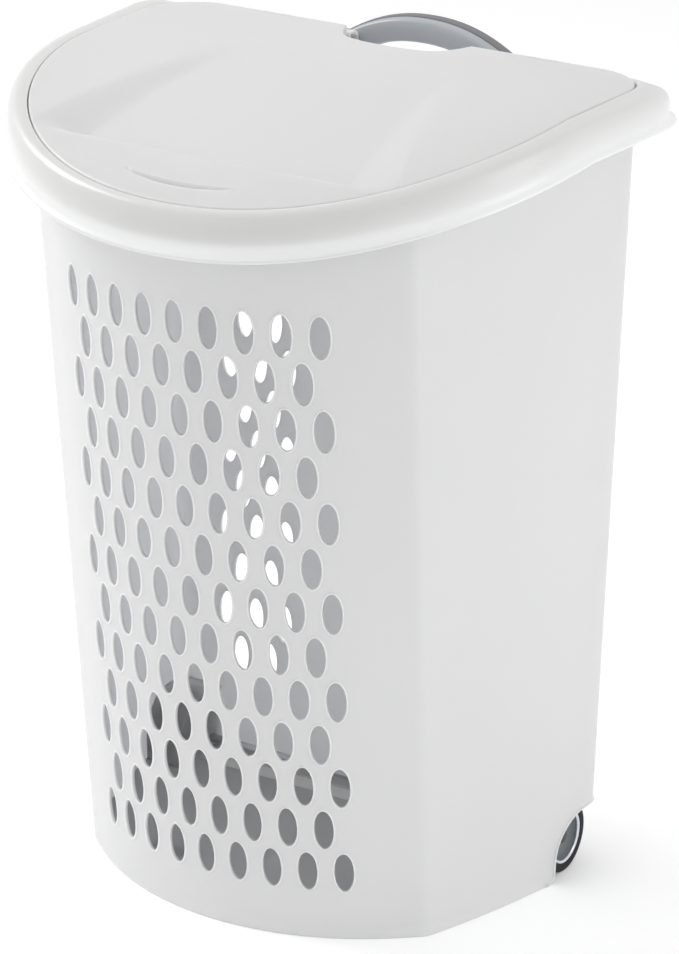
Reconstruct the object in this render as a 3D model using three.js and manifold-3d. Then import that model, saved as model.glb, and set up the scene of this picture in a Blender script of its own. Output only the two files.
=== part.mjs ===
// Wheeled laundry hamper with a flip-up lid. Millimetres, +Z up, the bowed front faces -Y.
// In the driving dimensions y = 0 is the back wall of the tub at its rim; the finished group is moved
// so that its origin is the bottom centre of its bounding box.
import * as THREE from "three";
import { mergeVertices } from "three/addons/utils/BufferGeometryUtils.js";
import Module from "manifold-3d";

const wasm = await Module();
wasm.setup();

// ---------------------------------------------------------------- driving dimensions
const RIM_HEIGHT = 697.3; // floor to the flat rear part of the deck
const DECK_FLAT_Y = -92; // in front of this line the deck curves down to the front
const DECK_RADIUS = 714; // radius of that curve, seen from the side
const DECK_CENTRE_Y = -132; // where the round front of the deck meets its straight sides
const DECK_POWER = 2.12; // how square the round front is; 2 is an ellipse
const WALL = 2.4; // moulded wall of the tub, the rim frame and the lid
const PART_GAP = 0.3; // between pieces that touch

// lid outline; the rim frame's wall and lip follow it outwards
const LID_FRONT = -357.5;
const LID_HALF = 229.5;
const LID = { front: LID_FRONT, half: LID_HALF, rearHalf: LID_HALF + 3.5, back: 12, corner: 50 };
const FRAME_WALL = {
  front: LID.front - 11,
  half: LID.half + 20.5,
  rearHalf: LID.rearHalf + 25.5,
  back: LID.back + 20,
  corner: LID.corner + 8,
};
const LIP = {
  front: FRAME_WALL.front - 4,
  half: FRAME_WALL.half + 5.5,
  rearHalf: FRAME_WALL.rearHalf + 5.5,
  back: FRAME_WALL.back + 5,
  corner: FRAME_WALL.corner + 3,
};
const SEAM_GAP = 1;
const HINGE_GAP = 3.6; // at the back, where the knuckles turn
const LID_SKIRT = 8;
const LEDGE_DROP = 9; // the lid rests on this ledge
const LEDGE_DROP_REAR = 17;
const LEDGE_WIDTH = 9;
const REAR_STEP = 7.5; // the rear of the frame is this much lower than the lid
const REAR_STEP_LENGTH = 24; // over which it goes down, ending just before the lid's rear edge
const LIP_DROP = 35; // lower edge of the lip below the deck, at the front
const LIP_RISE = 5; // how much less that is at the rear
const COLLAR_SHARE = 0.62; // the tub's collar lies this far from the lid seam to the frame's wall
const COLLAR_TOP_GAP = 9.1; // from under the frame's roll to the top of the collar
const COLLAR_FOOT = 25;

// tub, at the floor and at the rim
const FRONT_FLOOR_Y = -284.7;
const FRONT_RIM_INSET = 15.1; // from the frame's wall to the tub's front, at the rim
const BACK_RIM_INSET = 30.6; // the same at the rear of the sides
const SIDE_DRAFT = 10.9; // how much narrower the tub is on each side at the floor
const BACK_DRAFT = 8;
const BOW_RADIUS_FLOOR = 230;
const BOW_RADIUS_RIM = 250;
const CREASE_INSET_FLOOR = 48; // crease nearer the middle than the rear corner
const CREASE_INSET_RIM = 47.9;
const CREASE_DEPTH_FLOOR = 71; // crease behind the foremost line of the bow
const CREASE_DEPTH_RIM = 73;
const BACK_CORNER = 16;
const SIDE_BULGE = 6; // how far a side panel stands out from its chord
const FLOOR_HEIGHT = 11.6; // underside of the floor plate
const FOOT = { x: 80, inset: 60, width: 50, depth: 14 };

// ventilation: staggered upright ovals
const HOLE_WIDTH = 16;
const HOLE_HEIGHT = 36;
const HOLE_PITCH = 30.3; // along the wall
const ROW_PITCH = 40;
const FIRST_ROW_Z = 64.3;
const HOLE_MARGIN = 15; // least plain wall beside and above the ovals of the bow
const BACK_FIRST_X = 105;
const BACK_COLUMNS = 3; // on each side of the solid spine
const FRONT_HOLE_SIDES = 8;
const BACK_HOLE_SIDES = 6;

// valley pressed in the lid, and the finger pull at its front edge
const VALLEY_DEPTH = 13;
const VALLEY_BACK_Y = -85;
const VALLEY_FRONT_INSET = 67.5;
const VALLEY_END = 22; // length of the slope at its front end
const VALLEY_FOOT = { front: 123, back: 95 }; // half widths of its floor
const VALLEY_CREST = { front: 170, back: 100 }; // and between its upper edges
const PULL = { inset: 23.5, half: 48, width: 11, bow: 9, depth: 6 };

// notch at the back, in front of the handle
const NOTCH = { half: 60, frontHalf: 24, front: -27, backY: 60 };
const LID_NOTCH_GAP = 0.8;
const POCKET_GAP = 3.2;
const POCKET_DEPTH = 97.3;
const LINING_FOOT_DROP = 57.3;
const LINING_TOP_DROP = 9.3;

// hinge
const HINGE_TOP_GAP = 0.4; // between the ears and the lid above them
const PIN_RADIUS = 1.6;
const PIN_CLEARANCE = 0.1;
const KNUCKLE_WALL = 1.6;
const KNUCKLE_LENGTH = 9;
const KNUCKLE_GAP = 0.5;
const HINGE_X = 130;

// handle
const HANDLE_FRONT_Y = FRAME_WALL.back + 0.5;
const HANDLE_SPLIT_Y = HANDLE_FRONT_Y + 10.5;
const HANDLE_BACK_Y = HANDLE_SPLIT_Y + 13;
const HANDLE_CROWN = -2.3; // middle of the grip from the deck
const HANDLE_RISE = 30;
const HANDLE_HALF = 86;
const HANDLE_THICK = 22;
const PAD = { inner: 72, outer: 104, lowDrop: 25.5, highDrop: 16.3 };
const SCREW_X = [80, 96];
const SCREW_RADIUS = 1.6;
const SCREW_HEAD_RADIUS = 3.4;
const SCREW_HEAD_HEIGHT = 2.4;
const SCREW_SEAT = 7; // head bore's depth
const SCREW_CLEARANCE = 0.2;

// wheels
const WHEEL_RADIUS = 32;
const WHEEL_Y = -42;
const WHEEL_INSET = 11; // outer face of the tyre inside the tub's rear corner
const TYRE_WIDTH = 25;
const TYRE_DEPTH = 8;
const AXLE_RADIUS = 4;
const AXLE_CLEARANCE = 0.15;
const WHEEL_SIDE_GAP = 9; // inner wall of the wheel well to the wheel
const WELL_CLEARANCE = 4;
const ARCH_CLEARANCE = 9;
const ARCH_SHIFT = 13; // the arch lies this much behind and below the axle
const TUNNEL_CLEARANCE = 6;
const BOSS_WALL = 4;
const BOSS_LENGTH = 12;

// ---------------------------------------------------------------- materials
const plastic = (color, roughness) => new THREE.MeshStandardMaterial({ color, roughness, metalness: 0 });
const WHITE_BODY = plastic(0xe4e6e7, 0.5);
const WHITE_GLOSS = plastic(0xeceeef, 0.25);
const WHITE_LID = plastic(0xe6e8ea, 0.4);
const GREY_GRIP = plastic(0x7c8790, 0.4);
const GREY_SHELL = plastic(0x5c5d62, 0.6);
const HUB_GREY = plastic(0x6f777b, 0.45);
const CAP_DARK = plastic(0x2c2e31, 0.5);
const RUBBER = plastic(0x1b1c1e, 0.8);
const STEEL = new THREE.MeshStandardMaterial({ color: 0xb9bcc0, roughness: 0.35, metalness: 1 });

// ---------------------------------------------------------------- sizes that follow
const mix = (a, b, t) => a + (b - a) * t;
const FRONT_RIM_Y = FRAME_WALL.front + FRONT_RIM_INSET;
const BACK_HALF_RIM = FRAME_WALL.rearHalf - BACK_RIM_INSET;
const BACK_HALF_FLOOR = BACK_HALF_RIM - SIDE_DRAFT;
const CREASE_X_FLOOR = BACK_HALF_FLOOR - CREASE_INSET_FLOOR;
const CREASE_X_RIM = BACK_HALF_RIM - CREASE_INSET_RIM;
const VALLEY_FRONT_Y = LID.front + VALLEY_FRONT_INSET;
const PULL_Y = LID.front + PULL.inset;
const POCKET_FLOOR_Z = RIM_HEIGHT - POCKET_DEPTH;
const LINING_FOOT_Z = RIM_HEIGHT - LINING_FOOT_DROP;
const LINING_TOP_Z = RIM_HEIGHT - LINING_TOP_DROP;
const KNUCKLE_RADIUS = PIN_RADIUS + KNUCKLE_WALL;
const HINGE_Z = RIM_HEIGHT - WALL - KNUCKLE_RADIUS - HINGE_TOP_GAP;
const COLLAR_TOP = WALL + COLLAR_TOP_GAP;
const PAD_LOW = RIM_HEIGHT - PAD.lowDrop;
const PAD_HIGH = RIM_HEIGHT - PAD.highDrop;
const WHEEL_FACE_X = BACK_HALF_FLOOR - WHEEL_INSET;
const WELL_X = WHEEL_FACE_X - TYRE_WIDTH - WHEEL_SIDE_GAP;
const WELL_RADIUS = WHEEL_RADIUS + WELL_CLEARANCE;
const ARCH = { y: WHEEL_Y + ARCH_SHIFT, z: WHEEL_RADIUS - ARCH_SHIFT, radius: WHEEL_RADIUS + ARCH_CLEARANCE };
const TUNNEL_HALF = AXLE_RADIUS + TUNNEL_CLEARANCE;
const TUNNEL_TOP = WHEEL_RADIUS + AXLE_RADIUS + TUNNEL_CLEARANCE + 2;
const BOSS_RADIUS = AXLE_RADIUS + BOSS_WALL;
const COLLAR_BACK = mix(LID.back + HINGE_GAP, FRAME_WALL.back, COLLAR_SHARE);
const SCREW_PAD_FRONT = COLLAR_BACK + PART_GAP; // the screws bite into pads behind the collar
const OUTSIDE = LIP.rearHalf + 50; // beyond the object on every side
const BEHIND = LIP.back + 30;

// The frame's rebate wall follows the lid's outline with a gap that is wider at the hinge.
const grow = (o, d) => ({
  front: o.front - d,
  half: o.half + d,
  rearHalf: o.rearHalf + d,
  back: o.back + d,
  corner: o.corner + d,
});
const SEAT = { ...grow(LID, SEAM_GAP), back: LID.back + HINGE_GAP };
const CLEAR_TOP = RIM_HEIGHT + 100;
const BELOW_FLOOR = -6;

// ---------------------------------------------------------------- solids
const smooth = (t) => {
  const s = Math.min(1, Math.max(0, t));
  return s * s * (3 - 2 * s);
};

function solidOf(geometry) {
  const bare = geometry.clone();
  bare.deleteAttribute("normal");
  bare.deleteAttribute("uv");
  const merged = mergeVertices(bare, 1e-4);
  return new wasm.Manifold(
    new wasm.Mesh({
      numProp: 3,
      vertProperties: merged.attributes.position.array,
      triVerts: new Uint32Array(merged.index.array),
    }),
  );
}

function geometryOf(solid) {
  const mesh = solid.getMesh();
  const geometry = new THREE.BufferGeometry();
  geometry.setAttribute("position", new THREE.BufferAttribute(mesh.vertProperties, 3));
  geometry.setIndex(new THREE.BufferAttribute(mesh.triVerts, 1));
  geometry.computeVertexNormals();
  return geometry;
}

// A solid through a list of rings with the same number of points. The rings turn anticlockwise seen
// against the direction in which they follow each other. A looped list closes on its first ring.
function loft(rings, looped = false) {
  const count = rings[0].length;
  const positions = rings.flat().flatMap((p) => [p.x, p.y, p.z]);
  const faces = [];
  const spans = looped ? rings.length : rings.length - 1;
  for (let r = 0; r < spans; r++) {
    const below = r * count;
    const above = ((r + 1) % rings.length) * count;
    for (let i = 0; i < count; i++) {
      const j = (i + 1) % count;
      faces.push(below + i, below + j, above + j, below + i, above + j, above + i);
    }
  }
  if (!looped) {
    const last = (rings.length - 1) * count;
    capOf(rings[0]).forEach(([a, b, c]) => faces.push(a, c, b));
    capOf(rings[rings.length - 1]).forEach(([a, b, c]) => faces.push(last + a, last + b, last + c));
  }
  const geometry = new THREE.BufferGeometry();
  geometry.setAttribute("position", new THREE.Float32BufferAttribute(positions, 3));
  geometry.setIndex(faces);
  return solidOf(geometry);
}

// Triangles over a ring, in the plane that faces its own normal.
function capOf(ring) {
  const normal = new THREE.Vector3();
  ring.forEach((p, i) => {
    const q = ring[(i + 1) % ring.length];
    normal.add(new THREE.Vector3().crossVectors(p, q));
  });
  const across = new THREE.Vector3(1, 0, 0);
  if (Math.abs(normal.x) > Math.abs(normal.z) && Math.abs(normal.x) > Math.abs(normal.y)) across.set(0, 1, 0);
  const up = new THREE.Vector3().crossVectors(normal, across).normalize();
  const side = new THREE.Vector3().crossVectors(up, normal).normalize();
  const flat = ring.map((p) => new THREE.Vector2(p.dot(side), p.dot(up)));
  return THREE.ShapeUtils.triangulateShape(flat, []);
}

function box(x0, x1, y0, y1, z0, z1) {
  const geometry = new THREE.BoxGeometry(x1 - x0, y1 - y0, z1 - z0);
  geometry.translate((x0 + x1) / 2, (y0 + y1) / 2, (z0 + z1) / 2);
  return solidOf(geometry);
}

function mirroredBox(x0, x1, y0, y1, z0, z1) {
  return box(x0, x1, y0, y1, z0, z1).add(box(-x1, -x0, y0, y1, z0, z1));
}

// A cylinder along X from x0 to x1.
function rod(x0, x1, y, z, radius, sides = 24) {
  const geometry = new THREE.CylinderGeometry(radius, radius, x1 - x0, sides);
  geometry.rotateZ(Math.PI / 2);
  geometry.translate((x0 + x1) / 2, y, z);
  return solidOf(geometry);
}

const mirroredRod = (x0, x1, y, z, radius, sides) =>
  rod(x0, x1, y, z, radius, sides).add(rod(-x1, -x0, y, z, radius, sides));

// A hole that a round shaft of the given radius turns in: its flats stay clear of the shaft.
const boreRadius = (radius, clearance, sides) => (radius + clearance) / Math.cos(Math.PI / sides);

// An upright prism over a plan outline.
function prism(outline, z0, z1) {
  const ring = (z) => outline.map(([x, y]) => new THREE.Vector3(x, y, z));
  return loft([ring(z0), ring(z1)]);
}

// A closed outline moved inwards by a distance; negative moves it outwards.
function inset(outline, distance) {
  const count = outline.length;
  return outline.map(([x, y], i) => {
    const [px, py] = outline[(i + count - 1) % count];
    const [nx, ny] = outline[(i + 1) % count];
    const before = new THREE.Vector2(x - px, y - py).normalize();
    const after = new THREE.Vector2(nx - x, ny - y).normalize();
    const tangent = before.clone().add(after).normalize();
    const reach = distance / Math.max(0.5, before.dot(tangent));
    return [x - tangent.y * reach, y + tangent.x * reach];
  });
}

// ---------------------------------------------------------------- outlines
const DECK_ARC_STEPS = 10;
const DECK_CORNER_STEPS = 5;

// Half outlines run from the front centre line to the back, x positive.
const whole = (half) => [...half, ...half.slice(1).reverse().map(([x, y]) => [-x, y])];

// The D shape of the deck: a squarish half round in front, sides that open a little, round corners.
function deckOutline({ front, half, rearHalf, back, corner }) {
  const points = [];
  for (let i = 0; i <= DECK_ARC_STEPS; i++) {
    const turn = (i / DECK_ARC_STEPS) * (Math.PI / 2);
    const reach = 2 / DECK_POWER;
    const x = half * Math.sin(turn) ** reach;
    const y = DECK_CENTRE_Y - (DECK_CENTRE_Y - front) * Math.max(0, Math.cos(turn)) ** reach;
    points.push([x, y]);
  }
  for (let i = 0; i <= DECK_CORNER_STEPS; i++) {
    const turn = (i / DECK_CORNER_STEPS) * (Math.PI / 2);
    points.push([rearHalf - corner + corner * Math.cos(turn), back - corner + corner * Math.sin(turn)]);
  }
  return whole(points);
}

const between = (a, b, t) =>
  Object.fromEntries(Object.keys(a).map((key) => [key, mix(a[key], b[key], t)]));

const deckHeight = (y) => RIM_HEIGHT - Math.max(0, DECK_FLAT_Y - y) ** 2 / (2 * DECK_RADIUS);
const rearShare = (y) => smooth((y - LID.back) / REAR_STEP_LENGTH + 0.9);

// The frame's surface below the deck; towards the rear its upper part steps down.
const alongRim = (y) => Math.min(1, Math.max(0, (y - LIP.front) / (LIP.back - LIP.front)));
const lipDrop = (y) => LIP_DROP - LIP_RISE * alongRim(y);
const frameHeight = (y, drop) =>
  deckHeight(y) - (drop / LIP_DROP) * lipDrop(y) - REAR_STEP * rearShare(y) * (1 - drop / LIP_DROP);

const BOW_STEPS = 6;
const SIDE_STEPS = 4;
const BACK_CORNER_STEPS = 3;
const BACK_STATIONS = [14, 30, 50]; // points on the back wall, from the end of its corner

const frontY = (z) => mix(FRONT_FLOOR_Y, FRONT_RIM_Y, z / RIM_HEIGHT);
const bowRadius = (z) => mix(BOW_RADIUS_FLOOR, BOW_RADIUS_RIM, z / RIM_HEIGHT);
const backY = (z) => BACK_DRAFT * (z / RIM_HEIGHT - 1);

// Where the bow runs out into the flat facet, as a turn from the middle, and the crease beyond it.
function bowEnd(z) {
  const t = z / RIM_HEIGHT;
  const radius = bowRadius(z);
  const creaseX = mix(CREASE_X_FLOOR, CREASE_X_RIM, t);
  const depth = mix(CREASE_DEPTH_FLOOR, CREASE_DEPTH_RIM, t);
  const distance = Math.hypot(creaseX, radius - depth);
  const leave = Math.atan2(creaseX, radius - depth) - Math.acos(Math.min(1, radius / distance));
  return { leave, creaseX, creaseY: frontY(z) + depth };
}

// The tub's plan at a height: bow, flat facet, crease, side panel that bulges a little, back wall.
function tubOutline(z) {
  const t = z / RIM_HEIGHT;
  const radius = bowRadius(z);
  const centre = frontY(z) + radius;
  const { leave, creaseX, creaseY } = bowEnd(z);
  const points = [];
  for (let i = 0; i <= BOW_STEPS; i++) {
    const turn = (leave * i) / BOW_STEPS;
    points.push([radius * Math.sin(turn), centre - radius * Math.cos(turn)]);
  }
  const half = mix(BACK_HALF_FLOOR, BACK_HALF_RIM, t);
  const back = backY(z);
  for (let i = 0; i <= SIDE_STEPS; i++) {
    const s = i / SIDE_STEPS;
    const bulge = SIDE_BULGE * 4 * s * (1 - s);
    points.push([mix(creaseX, half, s) + bulge, mix(creaseY, back - BACK_CORNER, s)]);
  }
  for (let i = 1; i <= BACK_CORNER_STEPS; i++) {
    const turn = (i / BACK_CORNER_STEPS) * (Math.PI / 2);
    const x = half - BACK_CORNER + BACK_CORNER * Math.cos(turn);
    points.push([x, back - BACK_CORNER + BACK_CORNER * Math.sin(turn)]);
  }
  for (const step of BACK_STATIONS) points.push([half - BACK_CORNER - step, back]);
  return whole(points);
}

// The point of an outline that lies in the same direction from the deck's centre as a given point.
function towards(outline, [x, y]) {
  const direction = new THREE.Vector2(x, y - DECK_CENTRE_Y).normalize();
  const fromCentre = outline.map(([px, py]) => new THREE.Vector2(px, py - DECK_CENTRE_Y));
  const turned = fromCentre.map((p) => direction.cross(p));
  const crossings = outline.map((_, i) => {
    const j = (i + 1) % outline.length;
    if (turned[i] * turned[j] > 0) return null;
    return fromCentre[i].clone().lerp(fromCentre[j], turned[i] / (turned[i] - turned[j]));
  });
  const point = crossings.find((p) => p && p.dot(direction) > 0);
  return [point.x, point.y + DECK_CENTRE_Y];
}

// The notch in front of the handle: a rounded trapezium, open to the back.
function notchOutline(distance) {
  const { half, frontHalf, front, backY: end } = NOTCH;
  const side = [
    [0, front],
    [frontHalf, front + 1.5],
    [half * 0.7, front + 7],
    [half * 0.88, front + 19],
    [half, front + 38],
    [half + 1, end],
  ];
  return inset(whole(side), -distance);
}

// ---------------------------------------------------------------- tub
const tubRing = (outline, heightOf) => outline.map(([x, y]) => new THREE.Vector3(x, y, heightOf(y)));

// Rings of the tub's skin at one wall offset: floor, under the lip, flare and collar.
function tubSkin(offset, lowZ, topZ) {
  const lip = (y) => deckHeight(y) - lipDrop(y) + offset;
  const body = tubOutline(RIM_HEIGHT - LIP_DROP);
  const seated = inset(body, offset);
  const below = inset(tubOutline(lowZ), offset);
  const upper = below.map((p, i) => {
    const z = lip(seated[i][1]);
    const t = (z - lowZ) / (RIM_HEIGHT - LIP_DROP - lowZ);
    return new THREE.Vector3(mix(p[0], seated[i][0], t), mix(p[1], seated[i][1], t), z);
  });
  const collarPlan = deckOutline(grow(between(SEAT, FRAME_WALL, COLLAR_SHARE), -offset));
  const collar = body.map((p) => towards(collarPlan, p));
  const rings = [below.map(([x, y]) => new THREE.Vector3(x, y, lowZ)), upper];
  rings.push(tubRing(collar, (y) => frameHeight(y, COLLAR_FOOT) + offset));
  rings.push(tubRing(collar, (y) => frameHeight(y, COLLAR_TOP)));
  if (topZ) rings.push(tubRing(collar, () => topZ));
  return loft(rings);
}

function ovalCutter(centre, outward, sides) {
  const along = new THREE.Vector3(-outward.y, outward.x, 0);
  const ring = (reach) =>
    Array.from({ length: sides }, (_, i) => {
      const turn = (i / sides) * 2 * Math.PI;
      return centre
        .clone()
        .addScaledVector(outward, reach)
        .addScaledVector(along, (HOLE_WIDTH / 2) * Math.cos(turn))
        .add(new THREE.Vector3(0, 0, (HOLE_HEIGHT / 2) * Math.sin(turn)));
    });
  return loft([ring(-7), ring(7)]);
}

// As many rows as fit under the lip at the front, and as many ovals as fit on the bow at the floor.
const TOP_ROW_LIMIT = deckHeight(FRONT_RIM_Y) - LIP_DROP - HOLE_MARGIN - HOLE_HEIGHT / 2;
const ROWS = 1 + Math.floor((TOP_ROW_LIMIT - FIRST_ROW_Z) / ROW_PITCH);
const BOW_ROOM = 2 * (bowEnd(0).leave * BOW_RADIUS_FLOOR - HOLE_MARGIN - HOLE_WIDTH / 2);
const FRONT_COLUMNS = 1 + Math.floor(BOW_ROOM / HOLE_PITCH);

function frontOvals() {
  const cutters = [];
  for (let row = 0; row < ROWS; row++) {
    const z = FIRST_ROW_Z + row * ROW_PITCH;
    const columns = FRONT_COLUMNS - (row % 2);
    for (let column = 0; column < columns; column++) {
      const turn = ((column - (columns - 1) / 2) * HOLE_PITCH) / bowRadius(z);
      const outward = new THREE.Vector3(Math.sin(turn), -Math.cos(turn), 0);
      const centre = new THREE.Vector3(0, frontY(z) + bowRadius(z), z);
      centre.addScaledVector(outward, bowRadius(z) - WALL / 2);
      cutters.push(ovalCutter(centre, outward, FRONT_HOLE_SIDES));
    }
  }
  return cutters;
}

function backOvals() {
  const cutters = [];
  const outward = new THREE.Vector3(0, 1, 0);
  for (let row = 1; row < ROWS; row++) {
    const z = FIRST_ROW_Z + row * ROW_PITCH;
    for (let column = 0; column < BACK_COLUMNS - (row % 2); column++) {
      const x = BACK_FIRST_X + (column + (row % 2) / 2) * HOLE_PITCH;
      for (const side of [-1, 1]) {
        const centre = new THREE.Vector3(side * x, backY(z) - WALL / 2, z);
        cutters.push(ovalCutter(centre, outward, BACK_HOLE_SIDES));
      }
    }
  }
  return cutters;
}

// Space for each wheel behind the side panel, grown by a wall where the tub's inside goes round it.
function wells(extra) {
  const start = WELL_X - extra;
  const reach = WELL_RADIUS + extra;
  const low = WHEEL_Y - reach;
  return mirroredRod(start, OUTSIDE, WHEEL_Y, WHEEL_RADIUS, reach, 24)
    .add(mirroredBox(start, OUTSIDE, low, BEHIND, BELOW_FLOOR, WHEEL_RADIUS))
    .add(mirroredBox(start, OUTSIDE, WHEEL_Y, BEHIND, BELOW_FLOOR, WHEEL_RADIUS + reach));
}

function tunnel(extra) {
  const half = TUNNEL_HALF + extra;
  const reach = WELL_X - WALL + extra;
  return box(-reach, reach, WHEEL_Y - half, WHEEL_Y + half, BELOW_FLOOR, TUNNEL_TOP + extra);
}

function arches() {
  const { y, z, radius } = ARCH;
  return mirroredRod(WELL_X, OUTSIDE, y, z, radius, 32)
    .add(mirroredBox(WELL_X, OUTSIDE, y - radius, BEHIND, BELOW_FLOOR, z))
    .add(mirroredBox(WELL_X, OUTSIDE, y, BEHIND, BELOW_FLOOR, z + radius));
}

function makeTub() {
  const outer = tubSkin(0, 0, 0);
  const cavity = tubSkin(WALL, FLOOR_HEIGHT + WALL, CLEAR_TOP).subtract(wells(WALL)).subtract(tunnel(WALL));
  const wellTop = 2 * WHEEL_RADIUS + WELL_CLEARANCE + ROW_PITCH;
  const behindPanels = loft([
    inset(tubOutline(BELOW_FLOOR), WALL).map(([x, y]) => new THREE.Vector3(x, y, BELOW_FLOOR)),
    inset(tubOutline(wellTop), WALL).map(([x, y]) => new THREE.Vector3(x, y, wellTop)),
  ]);
  const belowPlate = box(-OUTSIDE, OUTSIDE, 2 * LIP.front, BEHIND, BELOW_FLOOR, FLOOR_HEIGHT);
  const underside = behindPanels.intersect(belowPlate.add(wells(0)));
  let tub = outer.subtract(cavity).subtract(underside).subtract(tunnel(0)).subtract(arches());
  // finger pocket: the back wall goes round it
  const pocket = prism(notchOutline(POCKET_GAP), POCKET_FLOOR_Z, CLEAR_TOP);
  const lining = prism(notchOutline(POCKET_GAP + WALL), POCKET_FLOOR_Z - WALL, CLEAR_TOP).intersect(outer);
  tub = tub.add(lining).subtract(pocket);
  const liningTop = RIM_HEIGHT - LEDGE_DROP_REAR - WALL - 2 * PART_GAP;
  const reach = NOTCH.half + 20;
  tub = tub.subtract(box(-reach, reach, 2 * NOTCH.front, SEAT.back + WALL + 2, liningTop, CLEAR_TOP));
  // axle bosses and feet
  const inner = WELL_X - BOSS_LENGTH;
  tub = tub.add(mirroredRod(inner, WELL_X, WHEEL_Y, WHEEL_RADIUS, BOSS_RADIUS, 16));
  const bore = boreRadius(AXLE_RADIUS, AXLE_CLEARANCE, 16);
  tub = tub.subtract(rod(-WELL_X - 9, WELL_X + 9, WHEEL_Y, WHEEL_RADIUS, bore, 16));
  const footY = FRONT_FLOOR_Y + FOOT.inset;
  const footX = FOOT.x - FOOT.width / 2;
  tub = tub.add(mirroredBox(footX, footX + FOOT.width, footY, footY + FOOT.depth, 0, FLOOR_HEIGHT + 1));
  for (const cutter of [...frontOvals(), ...backOvals()]) tub = tub.subtract(cutter);
  return tub;
}

// ---------------------------------------------------------------- hinge bores
function pinBores() {
  const bore = boreRadius(PIN_RADIUS, PIN_CLEARANCE, 12);
  const reach = 4 * KNUCKLE_LENGTH;
  return mirroredRod(HINGE_X - reach, HINGE_X + reach, LID.back, HINGE_Z, bore, 12);
}

// ---------------------------------------------------------------- rim frame
const ledgeDrop = (y) => mix(LEDGE_DROP, LEDGE_DROP_REAR, smooth((y + 62) / 25));

function makeFrame() {
  const ring = (outline, heightOf) => tubRing(deckOutline(outline), heightOf);
  const skin = (outline, drop) => ring(outline, (y) => frameHeight(y, drop));
  const section = [
    [0, 0.3],
    [0.15, 0],
    [0.4, 0.3],
    [0.62, 1.2],
    [0.8, 3.6],
    [0.93, 8.6],
    [1, 18],
    [1, 29],
  ];
  const at = (share, inwards) => grow(between(SEAT, FRAME_WALL, share), -inwards);
  const rings = section.map(([share, drop]) => skin(at(share, 0), drop));
  rings.push(skin(LIP, 32.6));
  rings.push(skin(LIP, LIP_DROP));
  rings.push(skin(grow(FRAME_WALL, -WALL), LIP_DROP));
  rings.push(skin(grow(FRAME_WALL, -WALL), 20.6));
  rings.push(skin(at(0.92, WALL * 0.95), 10.6));
  rings.push(skin(at(0.78, WALL * 0.8), 6));
  rings.push(skin(at(0.62, WALL * 0.5), 3.8));
  rings.push(skin(grow(SEAT, WALL), 2.9));
  rings.push(ring(grow(SEAT, WALL), (y) => deckHeight(y) - ledgeDrop(y) - WALL));
  rings.push(ring(grow(SEAT, -LEDGE_WIDTH), (y) => deckHeight(y) - ledgeDrop(y) - WALL));
  rings.push(ring(grow(SEAT, -LEDGE_WIDTH), (y) => deckHeight(y) - ledgeDrop(y)));
  rings.push(ring(SEAT, (y) => deckHeight(y) - ledgeDrop(y)));
  let frame = loft(rings.reverse(), true);
  // wall round the finger notch
  const rear = FRAME_WALL.back - 0.6;
  const beforeRear = box(-OUTSIDE, OUTSIDE, 2 * NOTCH.front, rear, 0, CLEAR_TOP);
  const lining = prism(notchOutline(WALL), LINING_FOOT_Z, LINING_TOP_Z - REAR_STEP).intersect(beforeRear);
  const screwPads = mirroredBox(PAD.inner + 2, PAD.outer - 2, SCREW_PAD_FRONT, rear - 1, PAD_LOW, PAD_HIGH);
  frame = frame.add(lining).subtract(prism(notchOutline(0), LINING_FOOT_Z - 10, CLEAR_TOP));
  frame = frame.add(screwPads);
  // ears that hold the hinge pins
  const half = KNUCKLE_LENGTH / 2;
  const foot = RIM_HEIGHT - LEDGE_DROP_REAR - WALL / 2;
  const earFront = LID.back - KNUCKLE_RADIUS;
  const earBack = LID.back + KNUCKLE_RADIUS;
  frame = frame
    .add(mirroredRod(HINGE_X - half, HINGE_X + half, LID.back, HINGE_Z, KNUCKLE_RADIUS, 12))
    .add(mirroredBox(HINGE_X - half, HINGE_X + half, earFront, earBack, foot, HINGE_Z));
  frame = frame.subtract(pinBores());
  for (const x of screwPlaces()) frame = frame.subtract(screwBore(x, SCREW_CLEARANCE));
  return frame;
}

// ---------------------------------------------------------------- lid
const LID_RINGS = [1, 0.95, 0.89, 0.81, 0.7, 0.55, 0.35];

// Depth of the fan-shaped valley: deepest near the front, fading out towards the back.
function valleyDepth(x, y) {
  const along = (y - VALLEY_FRONT_Y) / (VALLEY_BACK_Y - VALLEY_FRONT_Y);
  const inside = Math.min(1, Math.max(0, along));
  const foot = mix(VALLEY_FOOT.front, VALLEY_FOOT.back, inside);
  const crest = mix(VALLEY_CREST.front, VALLEY_CREST.back, inside);
  const side = 1 - smooth((Math.abs(x) - foot) / (crest - foot));
  const front = smooth((y - VALLEY_FRONT_Y) / VALLEY_END + 0.5);
  return VALLEY_DEPTH * side * (1 - inside) * front;
}

function lidSkin(inwards, under) {
  const plan = deckOutline(grow(LID, -inwards));
  const ring = (share) =>
    plan.map(([x, y]) => {
      const px = x * share;
      const py = DECK_CENTRE_Y + (y - DECK_CENTRE_Y) * share;
      return new THREE.Vector3(px, py, deckHeight(py) - valleyDepth(px, py) - under);
    });
  return LID_RINGS.map(ring);
}

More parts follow.
